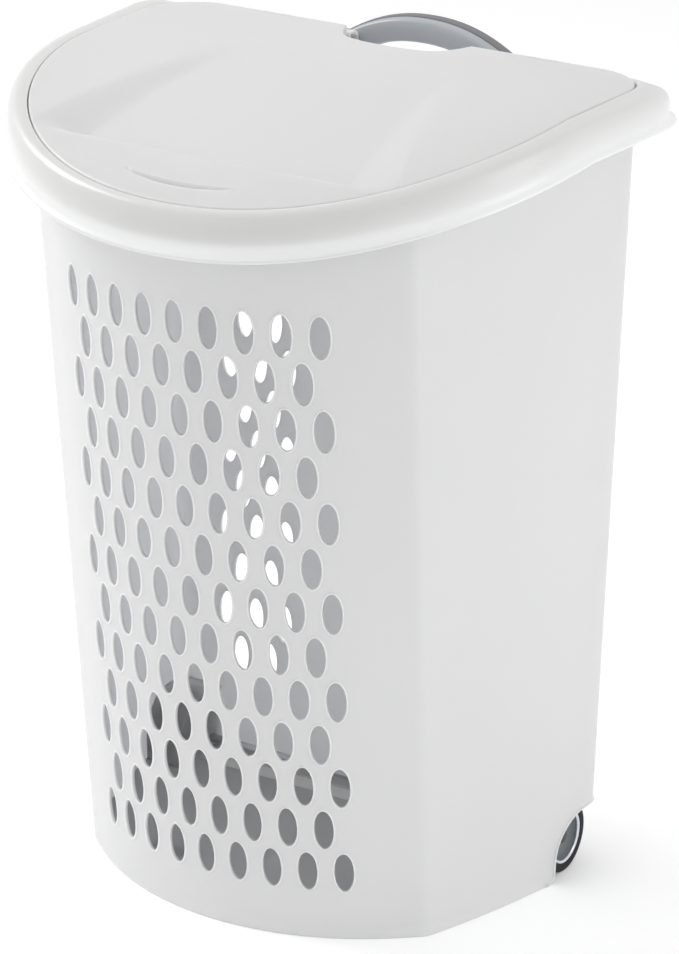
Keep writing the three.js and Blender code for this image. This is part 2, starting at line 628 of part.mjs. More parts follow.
function makeLid() {
  const centreZ = (under) => deckHeight(DECK_CENTRE_Y) - valleyDepth(0, DECK_CENTRE_Y) - under;
  const centre = (under) => new THREE.Vector3(0, DECK_CENTRE_Y, centreZ(under));
  const edge = (inwards, drop) => tubRing(deckOutline(grow(LID, -inwards)), (y) => deckHeight(y) - drop);
  const top = lidSkin(1.2, 0);
  const bottom = lidSkin(WALL, WALL).reverse();
  const shell = [
    ...bottom,
    edge(WALL, LID_SKIRT),
    edge(0, LID_SKIRT),
    edge(0, 1.2),
    ...top,
  ];
  const count = shell[0].length;
  const closed = [Array(count).fill(centre(WALL)), ...shell, Array(count).fill(centre(0))];
  let lid = fan(closed);
  // notch and its skirt
  const beforeBack = box(-OUTSIDE, OUTSIDE, 2 * NOTCH.front, LID.back - 0.5, 0, CLEAR_TOP);
  const skirtPlan = notchOutline(LID_NOTCH_GAP + WALL);
  const skirt = prism(skirtPlan, RIM_HEIGHT - LID_SKIRT, RIM_HEIGHT - 0.4).intersect(beforeBack);
  lid = lid.add(skirt).subtract(prism(notchOutline(LID_NOTCH_GAP), RIM_HEIGHT - POCKET_DEPTH, CLEAR_TOP));
  // finger pull: a curved pocket
  lid = lid.add(pullSolid(WALL)).subtract(pullSolid(0));
  // knuckles beside each ear of the frame, and a slot in the skirt for the ear
  const near = KNUCKLE_LENGTH / 2 + KNUCKLE_GAP;
  const far = near + KNUCKLE_LENGTH;
  const slotFront = LID.back - KNUCKLE_RADIUS - 9;
  const slotTop = RIM_HEIGHT - WALL - 0.1;
  const slotFoot = HINGE_Z - 4 * KNUCKLE_RADIUS;
  lid = lid.subtract(mirroredBox(HINGE_X - near, HINGE_X + near, slotFront, LID.back + 4, slotFoot, slotTop));
  for (const [x0, x1] of [[HINGE_X - far, HINGE_X - near], [HINGE_X + near, HINGE_X + far]]) {
    lid = lid
      .add(mirroredRod(x0, x1, LID.back, HINGE_Z, KNUCKLE_RADIUS, 12))
      .add(mirroredBox(x0, x1, LID.back - KNUCKLE_RADIUS, LID.back - 0.2, HINGE_Z, RIM_HEIGHT - 1));
  }
  return lid.subtract(pinBores());
}

// Like a loft whose first and last rings are single points.
function fan(rings) {
  const count = rings[0].length;
  const positions = rings.flat().flatMap((p) => [p.x, p.y, p.z]);
  const faces = [];
  for (let r = 0; r < rings.length - 1; r++) {
    for (let i = 0; i < count; i++) {
      const j = (i + 1) % count;
      const a = r * count + i;
      const b = r * count + j;
      const c = (r + 1) * count + j;
      const d = (r + 1) * count + i;
      if (r > 0) faces.push(a, b, c);
      if (r < rings.length - 2) faces.push(a, c, d);
    }
  }
  const geometry = new THREE.BufferGeometry();
  geometry.setAttribute("position", new THREE.Float32BufferAttribute(positions, 3));
  geometry.setIndex(faces);
  return solidOf(geometry);
}

// The crescent pocket at the lid's front edge, grown by a wall for its underside.
function pullSolid(extra) {
  const steps = 8;
  const plan = [];
  const at = (i, across) => {
    const t = (i / steps) * 2 - 1;
    return [t * (PULL.half + extra), PULL_Y + PULL.bow * t * t + across * (1 - t * t)];
  };
  for (let i = 0; i <= steps; i++) {
    const [x, y] = at(i, -PULL.width * 0.5);
    plan.push([x, y - extra]);
  }
  for (let i = steps; i >= 0; i--) {
    const [x, y] = at(i, PULL.width * 0.3);
    plan.push([x, y + 0.5 + extra]);
  }
  const base = deckHeight(PULL_Y) - PULL.depth - extra;
  return prism(plan, base, extra ? deckHeight(PULL_Y) - 1.2 : CLEAR_TOP);
}

// ---------------------------------------------------------------- handle
const screwPlaces = () => [-SCREW_X[1], -SCREW_X[0], SCREW_X[0], SCREW_X[1]];
const SCREW_Z = (PAD_LOW + PAD_HIGH) / 2;
const SCREW_TIP_Y = SCREW_PAD_FRONT - PART_GAP;
const SCREW_SEAT_Y = HANDLE_BACK_Y - SCREW_SEAT;

// A cylinder along Y.
function post(x, z, y0, y1, radius, sides = 10) {
  const geometry = new THREE.CylinderGeometry(radius, radius, y1 - y0, sides);
  geometry.translate(x, (y0 + y1) / 2, z);
  return solidOf(geometry);
}

const screwBore = (x, clearance) =>
  post(x, SCREW_Z, SCREW_TIP_Y - 4, HANDLE_BACK_Y + 2, SCREW_RADIUS + clearance);
const headBore = (x) => post(x, SCREW_Z, SCREW_SEAT_Y, HANDLE_BACK_Y + 2, SCREW_HEAD_RADIUS + 0.4);

function makeScrew(x) {
  const seat = SCREW_SEAT_Y + PART_GAP;
  const head = post(x, SCREW_Z, seat, seat + SCREW_HEAD_HEIGHT, SCREW_HEAD_RADIUS);
  const shank = post(x, SCREW_Z, SCREW_TIP_Y + 0.6, seat + 1, SCREW_RADIUS);
  const slotHalf = SCREW_HEAD_RADIUS * 0.65;
  const slotFloor = seat + SCREW_HEAD_HEIGHT / 2;
  const recess = box(x - 0.6, x + 0.6, slotFloor, HANDLE_BACK_Y, SCREW_Z - slotHalf, SCREW_Z + slotHalf);
  return head.add(shank).subtract(recess);
}

const archHeight = (x) => RIM_HEIGHT + HANDLE_CROWN - HANDLE_RISE * Math.abs(x / HANDLE_HALF) ** 2.2;

// One shell of the arched grip. The section is given as [across the arch, y] points.
function gripShell(section, y0, y1) {
  const steps = 12;
  const rings = [];
  for (let i = 0; i <= steps; i++) {
    const x = mix(-HANDLE_HALF, HANDLE_HALF, i / steps);
    const slope = archHeight(x + 0.5) - archHeight(x - 0.5);
    const normal = new THREE.Vector3(-slope, 0, 1).normalize();
    const place = ([n, y]) => new THREE.Vector3(x, y, archHeight(x)).addScaledVector(normal, n);
    rings.push(section.map(place));
  }
  let shell = loft(rings);
  shell = shell.add(mirroredBox(PAD.inner, PAD.outer, y0, y1, PAD_LOW, PAD_HIGH));
  return shell.subtract(box(-OUTSIDE, OUTSIDE, 0, BEHIND + y1, 0, PAD_LOW));
}

function makeFrontShell() {
  const h = HANDLE_THICK / 2;
  const y0 = HANDLE_FRONT_Y;
  const y1 = HANDLE_SPLIT_Y;
  const section = [
    [-h + 1, y1],
    [h - 1, y1],
    [h - 2.2, y0 + 3],
    [h - 5.5, y0 + 0.6],
    [0, y0],
    [-h + 4, y0 + 0.8],
    [-h + 1.2, y0 + 3],
  ];
  let shell = gripShell(section, y0, y1);
  for (const x of screwPlaces()) shell = shell.subtract(screwBore(x, SCREW_CLEARANCE));
  return shell;
}

function makeRearShell() {
  const h = HANDLE_THICK / 2;
  const y0 = HANDLE_SPLIT_Y + PART_GAP;
  const y1 = HANDLE_BACK_Y;
  const section = [
    [-h + 3, y1 - 1.6],
    [-h + 6, y1],
    [h - 6, y1],
    [h - 2.4, y1 - 1.8],
    [h, y1 - 6],
    [h, y0],
    [-h, y0],
    [-h, y1 - 5],
  ];
  let shell = gripShell(section, y0, y1);
  for (const x of screwPlaces()) shell = shell.subtract(screwBore(x, SCREW_CLEARANCE)).subtract(headBore(x));
  return shell;
}

// ---------------------------------------------------------------- wheels
// A turned piece on the wheel's axis; the profile is [radius, distance outwards from the wheel's inner side].
function turned(profile, side, sides = 20) {
  const geometry = new THREE.LatheGeometry(profile.map(([r, x]) => new THREE.Vector2(r, x)), sides);
  geometry.rotateZ(-Math.PI / 2);
  if (side < 0) geometry.rotateZ(Math.PI);
  geometry.translate(side * (WHEEL_FACE_X - TYRE_WIDTH), WHEEL_Y, WHEEL_RADIUS);
  return solidOf(geometry);
}

const HUB_OUTER = WHEEL_RADIUS - TYRE_DEPTH;
const HUB_BORE = boreRadius(AXLE_RADIUS, AXLE_CLEARANCE, 20);
const RIM_IN = TYRE_WIDTH - 3.5;

const TYRE_PROFILE = [
  [HUB_OUTER + PART_GAP, 1.5],
  [WHEEL_RADIUS - 2.5, 0],
  [WHEEL_RADIUS, 3.5],
  [WHEEL_RADIUS, TYRE_WIDTH - 3.5],
  [WHEEL_RADIUS - 2.5, TYRE_WIDTH],
  [HUB_OUTER + PART_GAP, TYRE_WIDTH - 1],
  [HUB_OUTER + PART_GAP, 1.5],
];
const HUB_PROFILE = [
  [HUB_BORE, 0],
  [9, 0],
  [9, 8],
  [HUB_OUTER - 3, 8],
  [HUB_OUTER - 3, 1.5],
  [HUB_OUTER, 1.5],
  [HUB_OUTER, RIM_IN],
  [HUB_OUTER - 3, RIM_IN],
  [HUB_OUTER - 4, RIM_IN - 3],
  [HUB_BORE, RIM_IN - 3],
  [HUB_BORE, 0],
];
const TRIM_PROFILE = [
  [HUB_OUTER - 2.6, RIM_IN + PART_GAP],
  [HUB_OUTER, RIM_IN + PART_GAP],
  [HUB_OUTER, TYRE_WIDTH - 1],
  [HUB_OUTER - 1.2, TYRE_WIDTH - 0.2],
  [HUB_OUTER - 2.6, TYRE_WIDTH - 1.4],
  [HUB_OUTER - 2.6, RIM_IN + PART_GAP],
];
const CAP_X = RIM_IN - 3 + PART_GAP;
const CAP_PROFILE = [
  [0, CAP_X + 3],
  [AXLE_RADIUS + PART_GAP, CAP_X + 3],
  [AXLE_RADIUS + PART_GAP, CAP_X],
  [6.5, CAP_X],
  [6.5, CAP_X + 2.6],
  [5, CAP_X + 4.2],
  [2.4, CAP_X + 4.9],
  [0, CAP_X + 5],
];
const WASHER_INNER = AXLE_RADIUS + 0.3;
const WASHER_PROFILE = [
  [WASHER_INNER, -1.5],
  [8, -1.5],
  [8, -PART_GAP],
  [WASHER_INNER, -PART_GAP],
  [WASHER_INNER, -1.5],
];

// ---------------------------------------------------------------- assembly
const hamper = new THREE.Group();
hamper.name = "laundry_hamper";

function place(name, solid, material, parent = hamper) {
  const mesh = new THREE.Mesh(geometryOf(solid), material);
  mesh.name = name;
  parent.add(mesh);
  return mesh;
}

place("tub", makeTub(), WHITE_BODY);
place("rim_frame", makeFrame(), WHITE_GLOSS);
place("lid", makeLid(), WHITE_LID);
place("handle_front_shell", makeFrontShell(), GREY_GRIP);
place("handle_rear_shell", makeRearShell(), GREY_SHELL);
screwPlaces().forEach((x, i) => place(`handle_screw_${i + 1}`, makeScrew(x), STEEL));

const pinReach = KNUCKLE_LENGTH * 1.5 + KNUCKLE_GAP + 1;
for (const [side, word] of [[-1, "left"], [1, "right"]]) {
  const centre = side * HINGE_X;
  const pin = rod(centre - pinReach, centre + pinReach, LID.back, HINGE_Z, PIN_RADIUS, 12);
  place(`hinge_pin_${word}`, pin, STEEL);
}

const axleEnd = WHEEL_FACE_X - TYRE_WIDTH + CAP_X + 3 - PART_GAP;
place("axle", rod(-axleEnd, axleEnd, WHEEL_Y, WHEEL_RADIUS, AXLE_RADIUS, 16), STEEL);
for (const [side, word] of [[-1, "left"], [1, "right"]]) {
  place(`wheel_hub_${word}`, turned(HUB_PROFILE, side), HUB_GREY);
  place(`tyre_${word}`, turned(TYRE_PROFILE, side, 32), RUBBER);
  place(`trim_ring_${word}`, turned(TRIM_PROFILE, side), STEEL);
  place(`axle_cap_${word}`, turned(CAP_PROFILE, side, 12), CAP_DARK);
  place(`washer_${word}`, turned(WASHER_PROFILE, side, 12), STEEL);
}

hamper.position.y = -(LIP.front + HANDLE_BACK_Y) / 2;

export default hamper;
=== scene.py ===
# %% [markdown]
# A laundry hamper on two wheels: a perforated white tub, a glossy rim frame, a lid with a valley pressed
# into it, a grey grip in two shells and small rubber-tyred wheels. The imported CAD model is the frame: it
# fixes every size and place. This lesson replaces its plain solids with finely shaped pieces.

import math

import bpy
from mathutils import Matrix, Vector


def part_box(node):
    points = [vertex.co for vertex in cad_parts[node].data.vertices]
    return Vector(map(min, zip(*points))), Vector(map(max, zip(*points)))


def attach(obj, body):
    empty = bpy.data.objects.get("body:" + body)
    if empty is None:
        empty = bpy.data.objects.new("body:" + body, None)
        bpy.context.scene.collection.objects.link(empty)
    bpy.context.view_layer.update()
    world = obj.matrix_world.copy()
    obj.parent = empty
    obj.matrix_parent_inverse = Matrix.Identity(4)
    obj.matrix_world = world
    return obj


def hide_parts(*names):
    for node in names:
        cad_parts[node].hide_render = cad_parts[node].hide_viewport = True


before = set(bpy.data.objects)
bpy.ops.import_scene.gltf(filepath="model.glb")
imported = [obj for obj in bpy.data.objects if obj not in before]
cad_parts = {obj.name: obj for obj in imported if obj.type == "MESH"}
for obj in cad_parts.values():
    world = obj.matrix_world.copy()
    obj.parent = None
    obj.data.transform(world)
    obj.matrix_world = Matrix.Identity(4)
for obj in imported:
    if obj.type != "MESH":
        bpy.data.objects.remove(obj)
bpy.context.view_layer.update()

# %% [markdown]
# A moulder thinks in millimetres, Blender in metres. The shapes below are worked out in millimetres from
# the back wall of the tub, and `to_frame` turns them into places in the frame. The shift between the two
# comes from the rim frame's own box, so the pieces land exactly on the CAD model.

# %% Units and places
MM = 0.001
FRAME_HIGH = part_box("rim_frame")[1]
LIP_BACK = 37.0  # the lip's rear edge, behind the tub's back wall
Y_SHIFT = FRAME_HIGH[1] / MM - LIP_BACK


def to_frame(point):
    """A design point in millimetres as a place in the frame, in metres."""
    return Vector((point[0] * MM, (point[1] + Y_SHIFT) * MM, point[2] * MM))


def mix(a, b, t):
    return a + (b - a) * t


def smooth(t):
    t = min(1.0, max(0.0, t))
    return t * t * (3 - 2 * t)


print("design y = 0 lies at frame y =", round(Y_SHIFT, 2), "mm")

# %% [markdown]
# The camera comes first, so that every piece can be looked at as it is made. It stands in front and to the
# right, a little over the lid, and far enough away for a long lens.

# %% Camera
CAMERA_AZIMUTH = math.radians(31.62)
CAMERA_ELEVATION = math.radians(21.145)
CAMERA_ROLL = math.radians(0.823)
CAMERA_DISTANCE = 3.193
AIM = Vector((0.0909, -0.0778, 0.4010))
LENS = 150.4


def add_camera():
    across = Vector((math.cos(CAMERA_AZIMUTH), math.sin(CAMERA_AZIMUTH), 0))
    back = Vector(
        (
            math.sin(CAMERA_AZIMUTH) * math.cos(CAMERA_ELEVATION),
            -math.cos(CAMERA_AZIMUTH) * math.cos(CAMERA_ELEVATION),
            math.sin(CAMERA_ELEVATION),
        )
    )
    up = back.cross(across)
    right = across * math.cos(CAMERA_ROLL) + up * math.sin(CAMERA_ROLL)
    over = up * math.cos(CAMERA_ROLL) - across * math.sin(CAMERA_ROLL)
    camera = bpy.data.objects.new("camera", bpy.data.cameras.new("camera"))
    bpy.context.scene.collection.objects.link(camera)
    turn = Matrix((right, over, back)).transposed().to_4x4()
    camera.matrix_world = Matrix.Translation(AIM + back * CAMERA_DISTANCE) @ turn
    camera.data.lens = LENS
    camera.data.clip_end = 50
    bpy.context.scene.camera = camera
    return camera


camera = add_camera()
print("camera at", [round(v, 3) for v in camera.location])

# %% [markdown]
# Plain studio: a pale floor that runs out of sight, a bright even surround and three soft panels: a key
# from the upper left for form, a wide one on the right and a weak one in front. White plastic needs light
# from all round with only gentle differences, or its shaded sides turn grey.

# %% Floor and lights
FLOOR_HALF = 12.0


def add_floor():
    bpy.ops.object.select_all(action="DESELECT")
    bpy.ops.mesh.primitive_plane_add(size=2 * FLOOR_HALF, location=(0, 0, 0))
    floor = bpy.context.object
    floor.name = "studio_floor"
    material = bpy.data.materials.new("studio_floor")
    material.use_nodes = True
    shader = material.node_tree.nodes["Principled BSDF"]
    shader.inputs["Base Color"].default_value = (0.96, 0.96, 0.96, 1)
    shader.inputs["Emission Color"].default_value = (1, 1, 1, 1)
    shader.inputs["Emission Strength"].default_value = 0.12
    shader.inputs["Roughness"].default_value = 0.9
    shader.inputs["Specular IOR Level"].default_value = 0.1
    floor.data.materials.append(material)
    return floor


def add_panel(name, place, aim, size, power):
    """A soft rectangular light at a place, facing a point."""
    light = bpy.data.lights.new(name, "AREA")
    light.shape = "RECTANGLE"
    light.size, light.size_y = size
    light.energy = power
    panel = bpy.data.objects.new(name, light)
    bpy.context.scene.collection.objects.link(panel)
    panel.location = place
    panel.rotation_euler = (Vector(aim) - Vector(place)).to_track_quat("-Z", "Y").to_euler()
    return panel


floor = add_floor()
add_panel("key_panel", (-2.2, -0.4, 2.3), (0, 0, 0.45), (1.2, 1.2), 36)
add_panel("side_panel", (2.8, 0.5, 1.3), (0, 0, 0.4), (1.4, 2.2), 18)
add_panel("front_panel", (-0.9, -3.2, 1.2), (0, 0, 0.4), (1.8, 1.6), 4)

world = bpy.data.worlds.new("studio_air")
bpy.context.scene.world = world
world.use_nodes = True
world.node_tree.nodes["Background"].inputs["Color"].default_value = (1, 1, 1, 1)
world.node_tree.nodes["Background"].inputs["Strength"].default_value = 0.8
bpy.context.scene.view_settings.view_transform = "Standard"

# %% [markdown]
# Most pieces share a few habits of the hand: work on one object at a time, merge doubled points, turn the
# faces outwards, thicken a skin into a wall, shade it smooth. Each becomes a short helper.

# %% Modelling helpers
MERGE = 2e-5  # metres


def only(piece):
    """Selects one object and nothing else."""
    if bpy.context.mode != "OBJECT":
        bpy.ops.object.mode_set(mode="OBJECT")
    bpy.ops.object.select_all(action="DESELECT")
    piece.select_set(True)
    bpy.context.view_layer.objects.active = piece


def mesh_piece(name, points, faces):
    """A new object from design points and faces."""
    mesh = bpy.data.meshes.new(name)
    mesh.from_pydata([to_frame(p) for p in points], [], faces)
    piece = bpy.data.objects.new(name, mesh)
    bpy.context.scene.collection.objects.link(piece)
    return piece


def tidy_mesh(piece, recalculate=True):
    """Merges doubled points and turns the faces outwards."""
    only(piece)
    bpy.ops.object.mode_set(mode="EDIT")
    bpy.ops.mesh.select_all(action="SELECT")
    bpy.ops.mesh.remove_doubles(threshold=MERGE)
    if recalculate:
        bpy.ops.mesh.normals_make_consistent(inside=False)
    bpy.ops.object.mode_set(mode="OBJECT")


def apply(piece, kind, **settings):
    """Adds one modifier with its settings and applies it."""
    only(piece)
    modifier = piece.modifiers.new(kind.lower(), kind)
    for key, value in settings.items():
        setattr(modifier, key, value)
    bpy.ops.object.modifier_apply(modifier=modifier.name)


def shade(piece, degrees):
    only(piece)
    bpy.ops.object.shade_smooth_by_angle(angle=math.radians(degrees))


def settle(piece):
    """Moves an object's place, turn and size into its mesh."""
    only(piece)
    bpy.ops.object.transform_apply(location=True, rotation=True, scale=True)


def cut(piece, cutter, operation="DIFFERENCE", folded=False):
    """Takes the cutter's shape out of a piece, and the cutter away. A folded skin may cross itself."""
    only(piece)
    modifier = piece.modifiers.new("cut", "BOOLEAN")
    modifier.operation = operation
    modifier.solver = "EXACT"
    modifier.use_self = folded
    modifier.object = cutter
    bpy.ops.object.modifier_apply(modifier=modifier.name)
    bpy.data.objects.remove(cutter)


def join(name, pieces):
    """Several objects as one."""
    only(pieces[0])
    for piece in pieces[1:]:
        piece.select_set(True)
    bpy.ops.object.join()
    bpy.context.object.name = name
    return bpy.context.object


def loft(name, rings, looped=False, closed=True):
    """A skin through rings that have the same number of points."""
    count = len(rings[0])
    points = [p for ring in rings for p in ring]
    faces = []
    spans = len(rings) if looped else len(rings) - 1
    for r in range(spans):
        low, high = r * count, (r + 1) % len(rings) * count
        for i in range(count if closed else count - 1):
            j = (i + 1) % count
            faces.append((low + i, low + j, high + j, high + i))
    return mesh_piece(name, points, faces)


# %% [markdown]
# The deck, seen from above, is a D: a squarish half round in front, sides that open a little and rounded
# rear corners. The lid, the seam and the rim frame are all the same D, a few millimetres larger each time.
# Seen from the side the deck is level at the back and falls on a long arc to the front.

# %% Deck outline and height
RIM_HEIGHT = 697.3
DECK_FLAT_Y = -92.0
DECK_RADIUS = 714.0
DECK_CENTRE_Y = -132.0
DECK_POWER = 2.12
WALL = 2.4
LID = dict(front=-357.5, half=229.5, rear_half=233.0, back=12.0, corner=50.0)
FRAME_WALL = dict(front=-368.5, half=250.0, rear_half=258.5, back=32.0, corner=58.0)
LIP = dict(front=-372.5, half=255.5, rear_half=264.0, back=LIP_BACK, corner=61.0)
SEAM_GAP = 1.0
HINGE_GAP = 3.6
LIP_DROP, LIP_RISE = 35.0, 5.0  # the lip's lower edge below the deck in front, and its rise to the rear
REAR_STEP, REAR_STEP_LENGTH = 7.5, 24.0
ARC_STEPS = 48
CORNER_STEPS = 12


def grow(outline, distance):
    """The same D moved outwards."""
    signs = dict(front=-1, half=1, rear_half=1, back=1, corner=1)
    return {key: value + signs[key] * distance for key, value in outline.items()}


def between(a, b, t):
    return {key: mix(a[key], b[key], t) for key in a}


def whole(half):
    """A half outline, front to back on the right, and its mirror image."""
    return half + [(-x, y) for x, y in reversed(half[1:])]


def deck_outline(o):
    reach = 2 / DECK_POWER
    half = []
    for i in range(ARC_STEPS + 1):
        turn = i / ARC_STEPS * math.pi / 2
        x = o["half"] * math.sin(turn) ** reach
        y = DECK_CENTRE_Y - (DECK_CENTRE_Y - o["front"]) * max(0.0, math.cos(turn)) ** reach
        half.append((x, y))
    for i in range(CORNER_STEPS + 1):
        turn = i / CORNER_STEPS * math.pi / 2
        centre_x, centre_y = o["rear_half"] - o["corner"], o["back"] - o["corner"]
        half.append((centre_x + o["corner"] * math.cos(turn), centre_y + o["corner"] * math.sin(turn)))
    for share in (0.9, 0.75, 0.6, 0.45, 0.3, 0.15):
        half.append(((o["rear_half"] - o["corner"]) * share, o["back"]))
    return whole(half)


def deck_height(y):
    return RIM_HEIGHT - max(0.0, DECK_FLAT_Y - y) ** 2 / (2 * DECK_RADIUS)


def lip_drop(y):
    along = (y - LIP["front"]) / (LIP["back"] - LIP["front"])
    return LIP_DROP - LIP_RISE * min(1.0, max(0.0, along))


def frame_height(y, drop):
    """The frame's surface: at the rear its upper part steps down below the lid."""
    rear = smooth((y - LID["back"]) / REAR_STEP_LENGTH + 0.9)
    return deck_height(y) - drop / LIP_DROP * lip_drop(y) - REAR_STEP * rear * (1 - drop / LIP_DROP)


SEAT = grow(LID, SEAM_GAP)
SEAT["back"] = LID["back"] + HINGE_GAP
print("points in a deck outline", len(deck_outline(LID)))

# %% [markdown]
# The tub's plan changes with height: an arched front, a flat facet that runs back to a crease, a side panel
# that bulges a little, a round corner and a straight back. `bow_place` and `back_place` give a point on the
# two perforated walls, `side_places` the plain stretch between them.

# %% Tub plan
FRONT_FLOOR_Y, FRONT_LEAN = -284.7, 0.0985
BOW_RADIUS_FLOOR, BOW_RADIUS_RIM = 230.0, 250.0
CREASE_X_FLOOR, CREASE_X_RIM = 169.0, 180.0
CREASE_DEPTH_FLOOR, CREASE_DEPTH_RIM = 71.0, 73.0
BACK_HALF_FLOOR, BACK_HALF_RIM = 217.0, 227.9
BACK_Y_FLOOR = -8.0
BACK_CORNER = 16.0
SIDE_BULGE = 6.0
CREASE_SOFTNESS = 5.0
ARC_END_STEPS, FACET_STEPS, CREASE_STEPS, PANEL_STEPS, TURN_STEPS = 3, 4, 4, 16, 7


def front_y(z):
    return FRONT_FLOOR_Y - FRONT_LEAN * z


def bow_radius(z):
    return mix(BOW_RADIUS_FLOOR, BOW_RADIUS_RIM, z / RIM_HEIGHT)


def back_y(z):
    return mix(BACK_Y_FLOOR, 0, z / RIM_HEIGHT)


def bow_place(s, z, proud=0.0):
    """The point s millimetres along the bow from its middle, standing proud of the wall."""
    radius = bow_radius(z)
    turn = s / radius
    reach = radius + proud
    return (reach * math.sin(turn), front_y(z) + radius - reach * math.cos(turn), z)


def back_place(x, z, proud=0.0):
    return (x, back_y(z) + proud, z)


def bow_end(z):
    """The turn at which the bow runs out into the flat facet, and the crease that the facet meets."""
    radius = bow_radius(z)
    t = z / RIM_HEIGHT
    depth = mix(CREASE_DEPTH_FLOOR, CREASE_DEPTH_RIM, t)
    crease = Vector((mix(CREASE_X_FLOOR, CREASE_X_RIM, t), front_y(z) + depth))
    centre_y = front_y(z) + radius
    distance = math.hypot(crease.x, centre_y - crease.y)
    turn = math.atan2(crease.x, centre_y - crease.y) - math.acos(min(1.0, radius / distance))
    return turn, crease


def panel_place(t, z):
    """A point of the side panel in plan: t is 0 at the crease and 1 at the rear corner."""
    turn, crease = bow_end(z)
    half = mix(BACK_HALF_FLOOR, BACK_HALF_RIM, z / RIM_HEIGHT)
    end = Vector((half, back_y(z) - BACK_CORNER))
    return crease.lerp(end, t) + Vector((SIDE_BULGE * 4 * t * (1 - t), 0))


def side_places(z, bow_s, back_x):
    """Plan points from the end of the bow's holes to the start of the back's holes, right-hand side."""
    radius = bow_radius(z)
    turn, crease = bow_end(z)
    centre_y = front_y(z) + radius
    half = mix(BACK_HALF_FLOOR, BACK_HALF_RIM, z / RIM_HEIGHT)
    places = []
    for i in range(1, ARC_END_STEPS + 1):
        at = mix(bow_s / radius, turn, i / ARC_END_STEPS)
        places.append((radius * math.sin(at), centre_y - radius * math.cos(at)))
    leave = Vector(places[-1])
    facet_end = crease + (leave - crease).normalized() * CREASE_SOFTNESS
    first = CREASE_SOFTNESS / (Vector(panel_place(1, z)) - crease).length
    panel_start = panel_place(first, z)
    for i in range(1, FACET_STEPS + 1):
        places.append(tuple(leave.lerp(facet_end, i / FACET_STEPS)))
    for i in range(1, CREASE_STEPS + 1):
        t = i / CREASE_STEPS
        places.append(tuple(facet_end.lerp(crease, t).lerp(crease.lerp(panel_start, t), t)))
    for i in range(1, PANEL_STEPS + 1):
        places.append(tuple(panel_place(mix(first, 1, i / PANEL_STEPS), z)))
    for i in range(1, TURN_STEPS + 1):
        at = i / TURN_STEPS * math.pi / 2
        x = half - BACK_CORNER + BACK_CORNER * math.cos(at)
        places.append((x, back_y(z) - BACK_CORNER + BACK_CORNER * math.sin(at)))
    places.append((mix(half - BACK_CORNER, back_x, 0.5), back_y(z)))
    return places


print("bow runs out at", round(math.degrees(bow_end(300)[0]), 1), "degrees from the middle")

# %% [markdown]
# The wall has more than a hundred and seventy ovals. Cutting them with booleans would leave long thin
# triangles that spoil the gleam, so the wall is laid like a tiled sheet. Every hole is one tile: a square
# loop of points on the outside, rings that rise over a small rolled bead, and the opening. Plain stretches
# are a grid with the same spacing, and merging doubled points closes the joints. An outer and an inner
# skin, joined at each opening, make a wall of even thickness.

# %% Perforated wall
HOLE_HALF_WIDTH, HOLE_HALF_HEIGHT = 8.0, 18.0
HOLE_PITCH, ROW_PITCH = 30.3, 40.0
FIRST_ROW_Z = 64.3
ROWS, FRONT_COLUMNS, BACK_COLUMNS = 13, 9, 3
BACK_FIRST_X = 105.0
TILE = 6  # grid steps across and up one tile
BEAD = [(1.8, 0.0), (1.35, 0.75), (0.75, 1.15), (0.25, 0.85), (0.0, 0.0)]  # out from the opening, proud
LOW_EDGE = [(0.0, -1.5), (0.15, -0.7), (0.6, -0.2), (1.3, 0.0), (12.0, 0.0), (28.0, 0.0)]
TOP_STEPS = 8
BAND_LOW = FIRST_ROW_Z - ROW_PITCH / 2
BAND_HIGH = BAND_LOW + ROWS * ROW_PITCH
BOW_BAND = FRONT_COLUMNS * HOLE_PITCH / 2
BACK_BAND_IN = BACK_FIRST_X - HOLE_PITCH / 2
BACK_BAND_OUT = BACK_BAND_IN + BACK_COLUMNS * HOLE_PITCH
SPINE_STEPS = 14


def bow_stations():
    return [mix(-BOW_BAND, BOW_BAND, i / (FRONT_COLUMNS * TILE)) for i in range(FRONT_COLUMNS * TILE + 1)]


def back_stations():
    """From the right-hand band of holes over the plain spine to the left-hand band."""
    steps = BACK_COLUMNS * TILE
    right = [mix(BACK_BAND_OUT, BACK_BAND_IN, i / steps) for i in range(steps + 1)]
    spine = [mix(BACK_BAND_IN, -BACK_BAND_IN, i / SPINE_STEPS) for i in range(1, SPINE_STEPS)]
    return right + spine + [-x for x in reversed(right)]


def plan(z):
    """All plan points round the tub at a height, anticlockwise from the left end of the bow's band."""
    bow = [bow_place(s, z)[:2] for s in bow_stations()]
    right = side_places(z, BOW_BAND, BACK_BAND_OUT)
    back = [back_place(x, z)[:2] for x in back_stations()]
    left = [(-x, y) for x, y in reversed(right)]
    return bow + right + back + left


def offset_plan(points, proud):
    """Plan points moved outwards along the outline's normal."""
    count = len(points)
    moved = []
    for i, (x, y) in enumerate(points):
        before, after = points[i - 1], points[(i + 1) % count]
        along = Vector((after[0] - before[0], after[1] - before[1])).normalized()
        moved.append((x + along.y * proud, y - along.x * proud))
    return moved


BOW_COUNT = len(bow_stations())
SIDE_COUNT = len(side_places(0, BOW_BAND, BACK_BAND_OUT))
BACK_START = BOW_COUNT + SIDE_COUNT
BACK_COUNT = len(back_stations())


def is_tiled(row, station):
    """True where a tile covers the grid cell at a row of holes and a station round the wall."""
    half = TILE // 2 if row % 2 else 0
    if station < BOW_COUNT - 1:
        return half <= station < BOW_COUNT - 1 - half
    at = station - BACK_START
    band = BACK_COLUMNS * TILE
    if row == 0 or not 0 <= at < BACK_COUNT - 1:
        return False
    if at < band:
        return half <= at < band - half
    at -= band + SPINE_STEPS
    return 0 <= at < band and half <= at < band - half


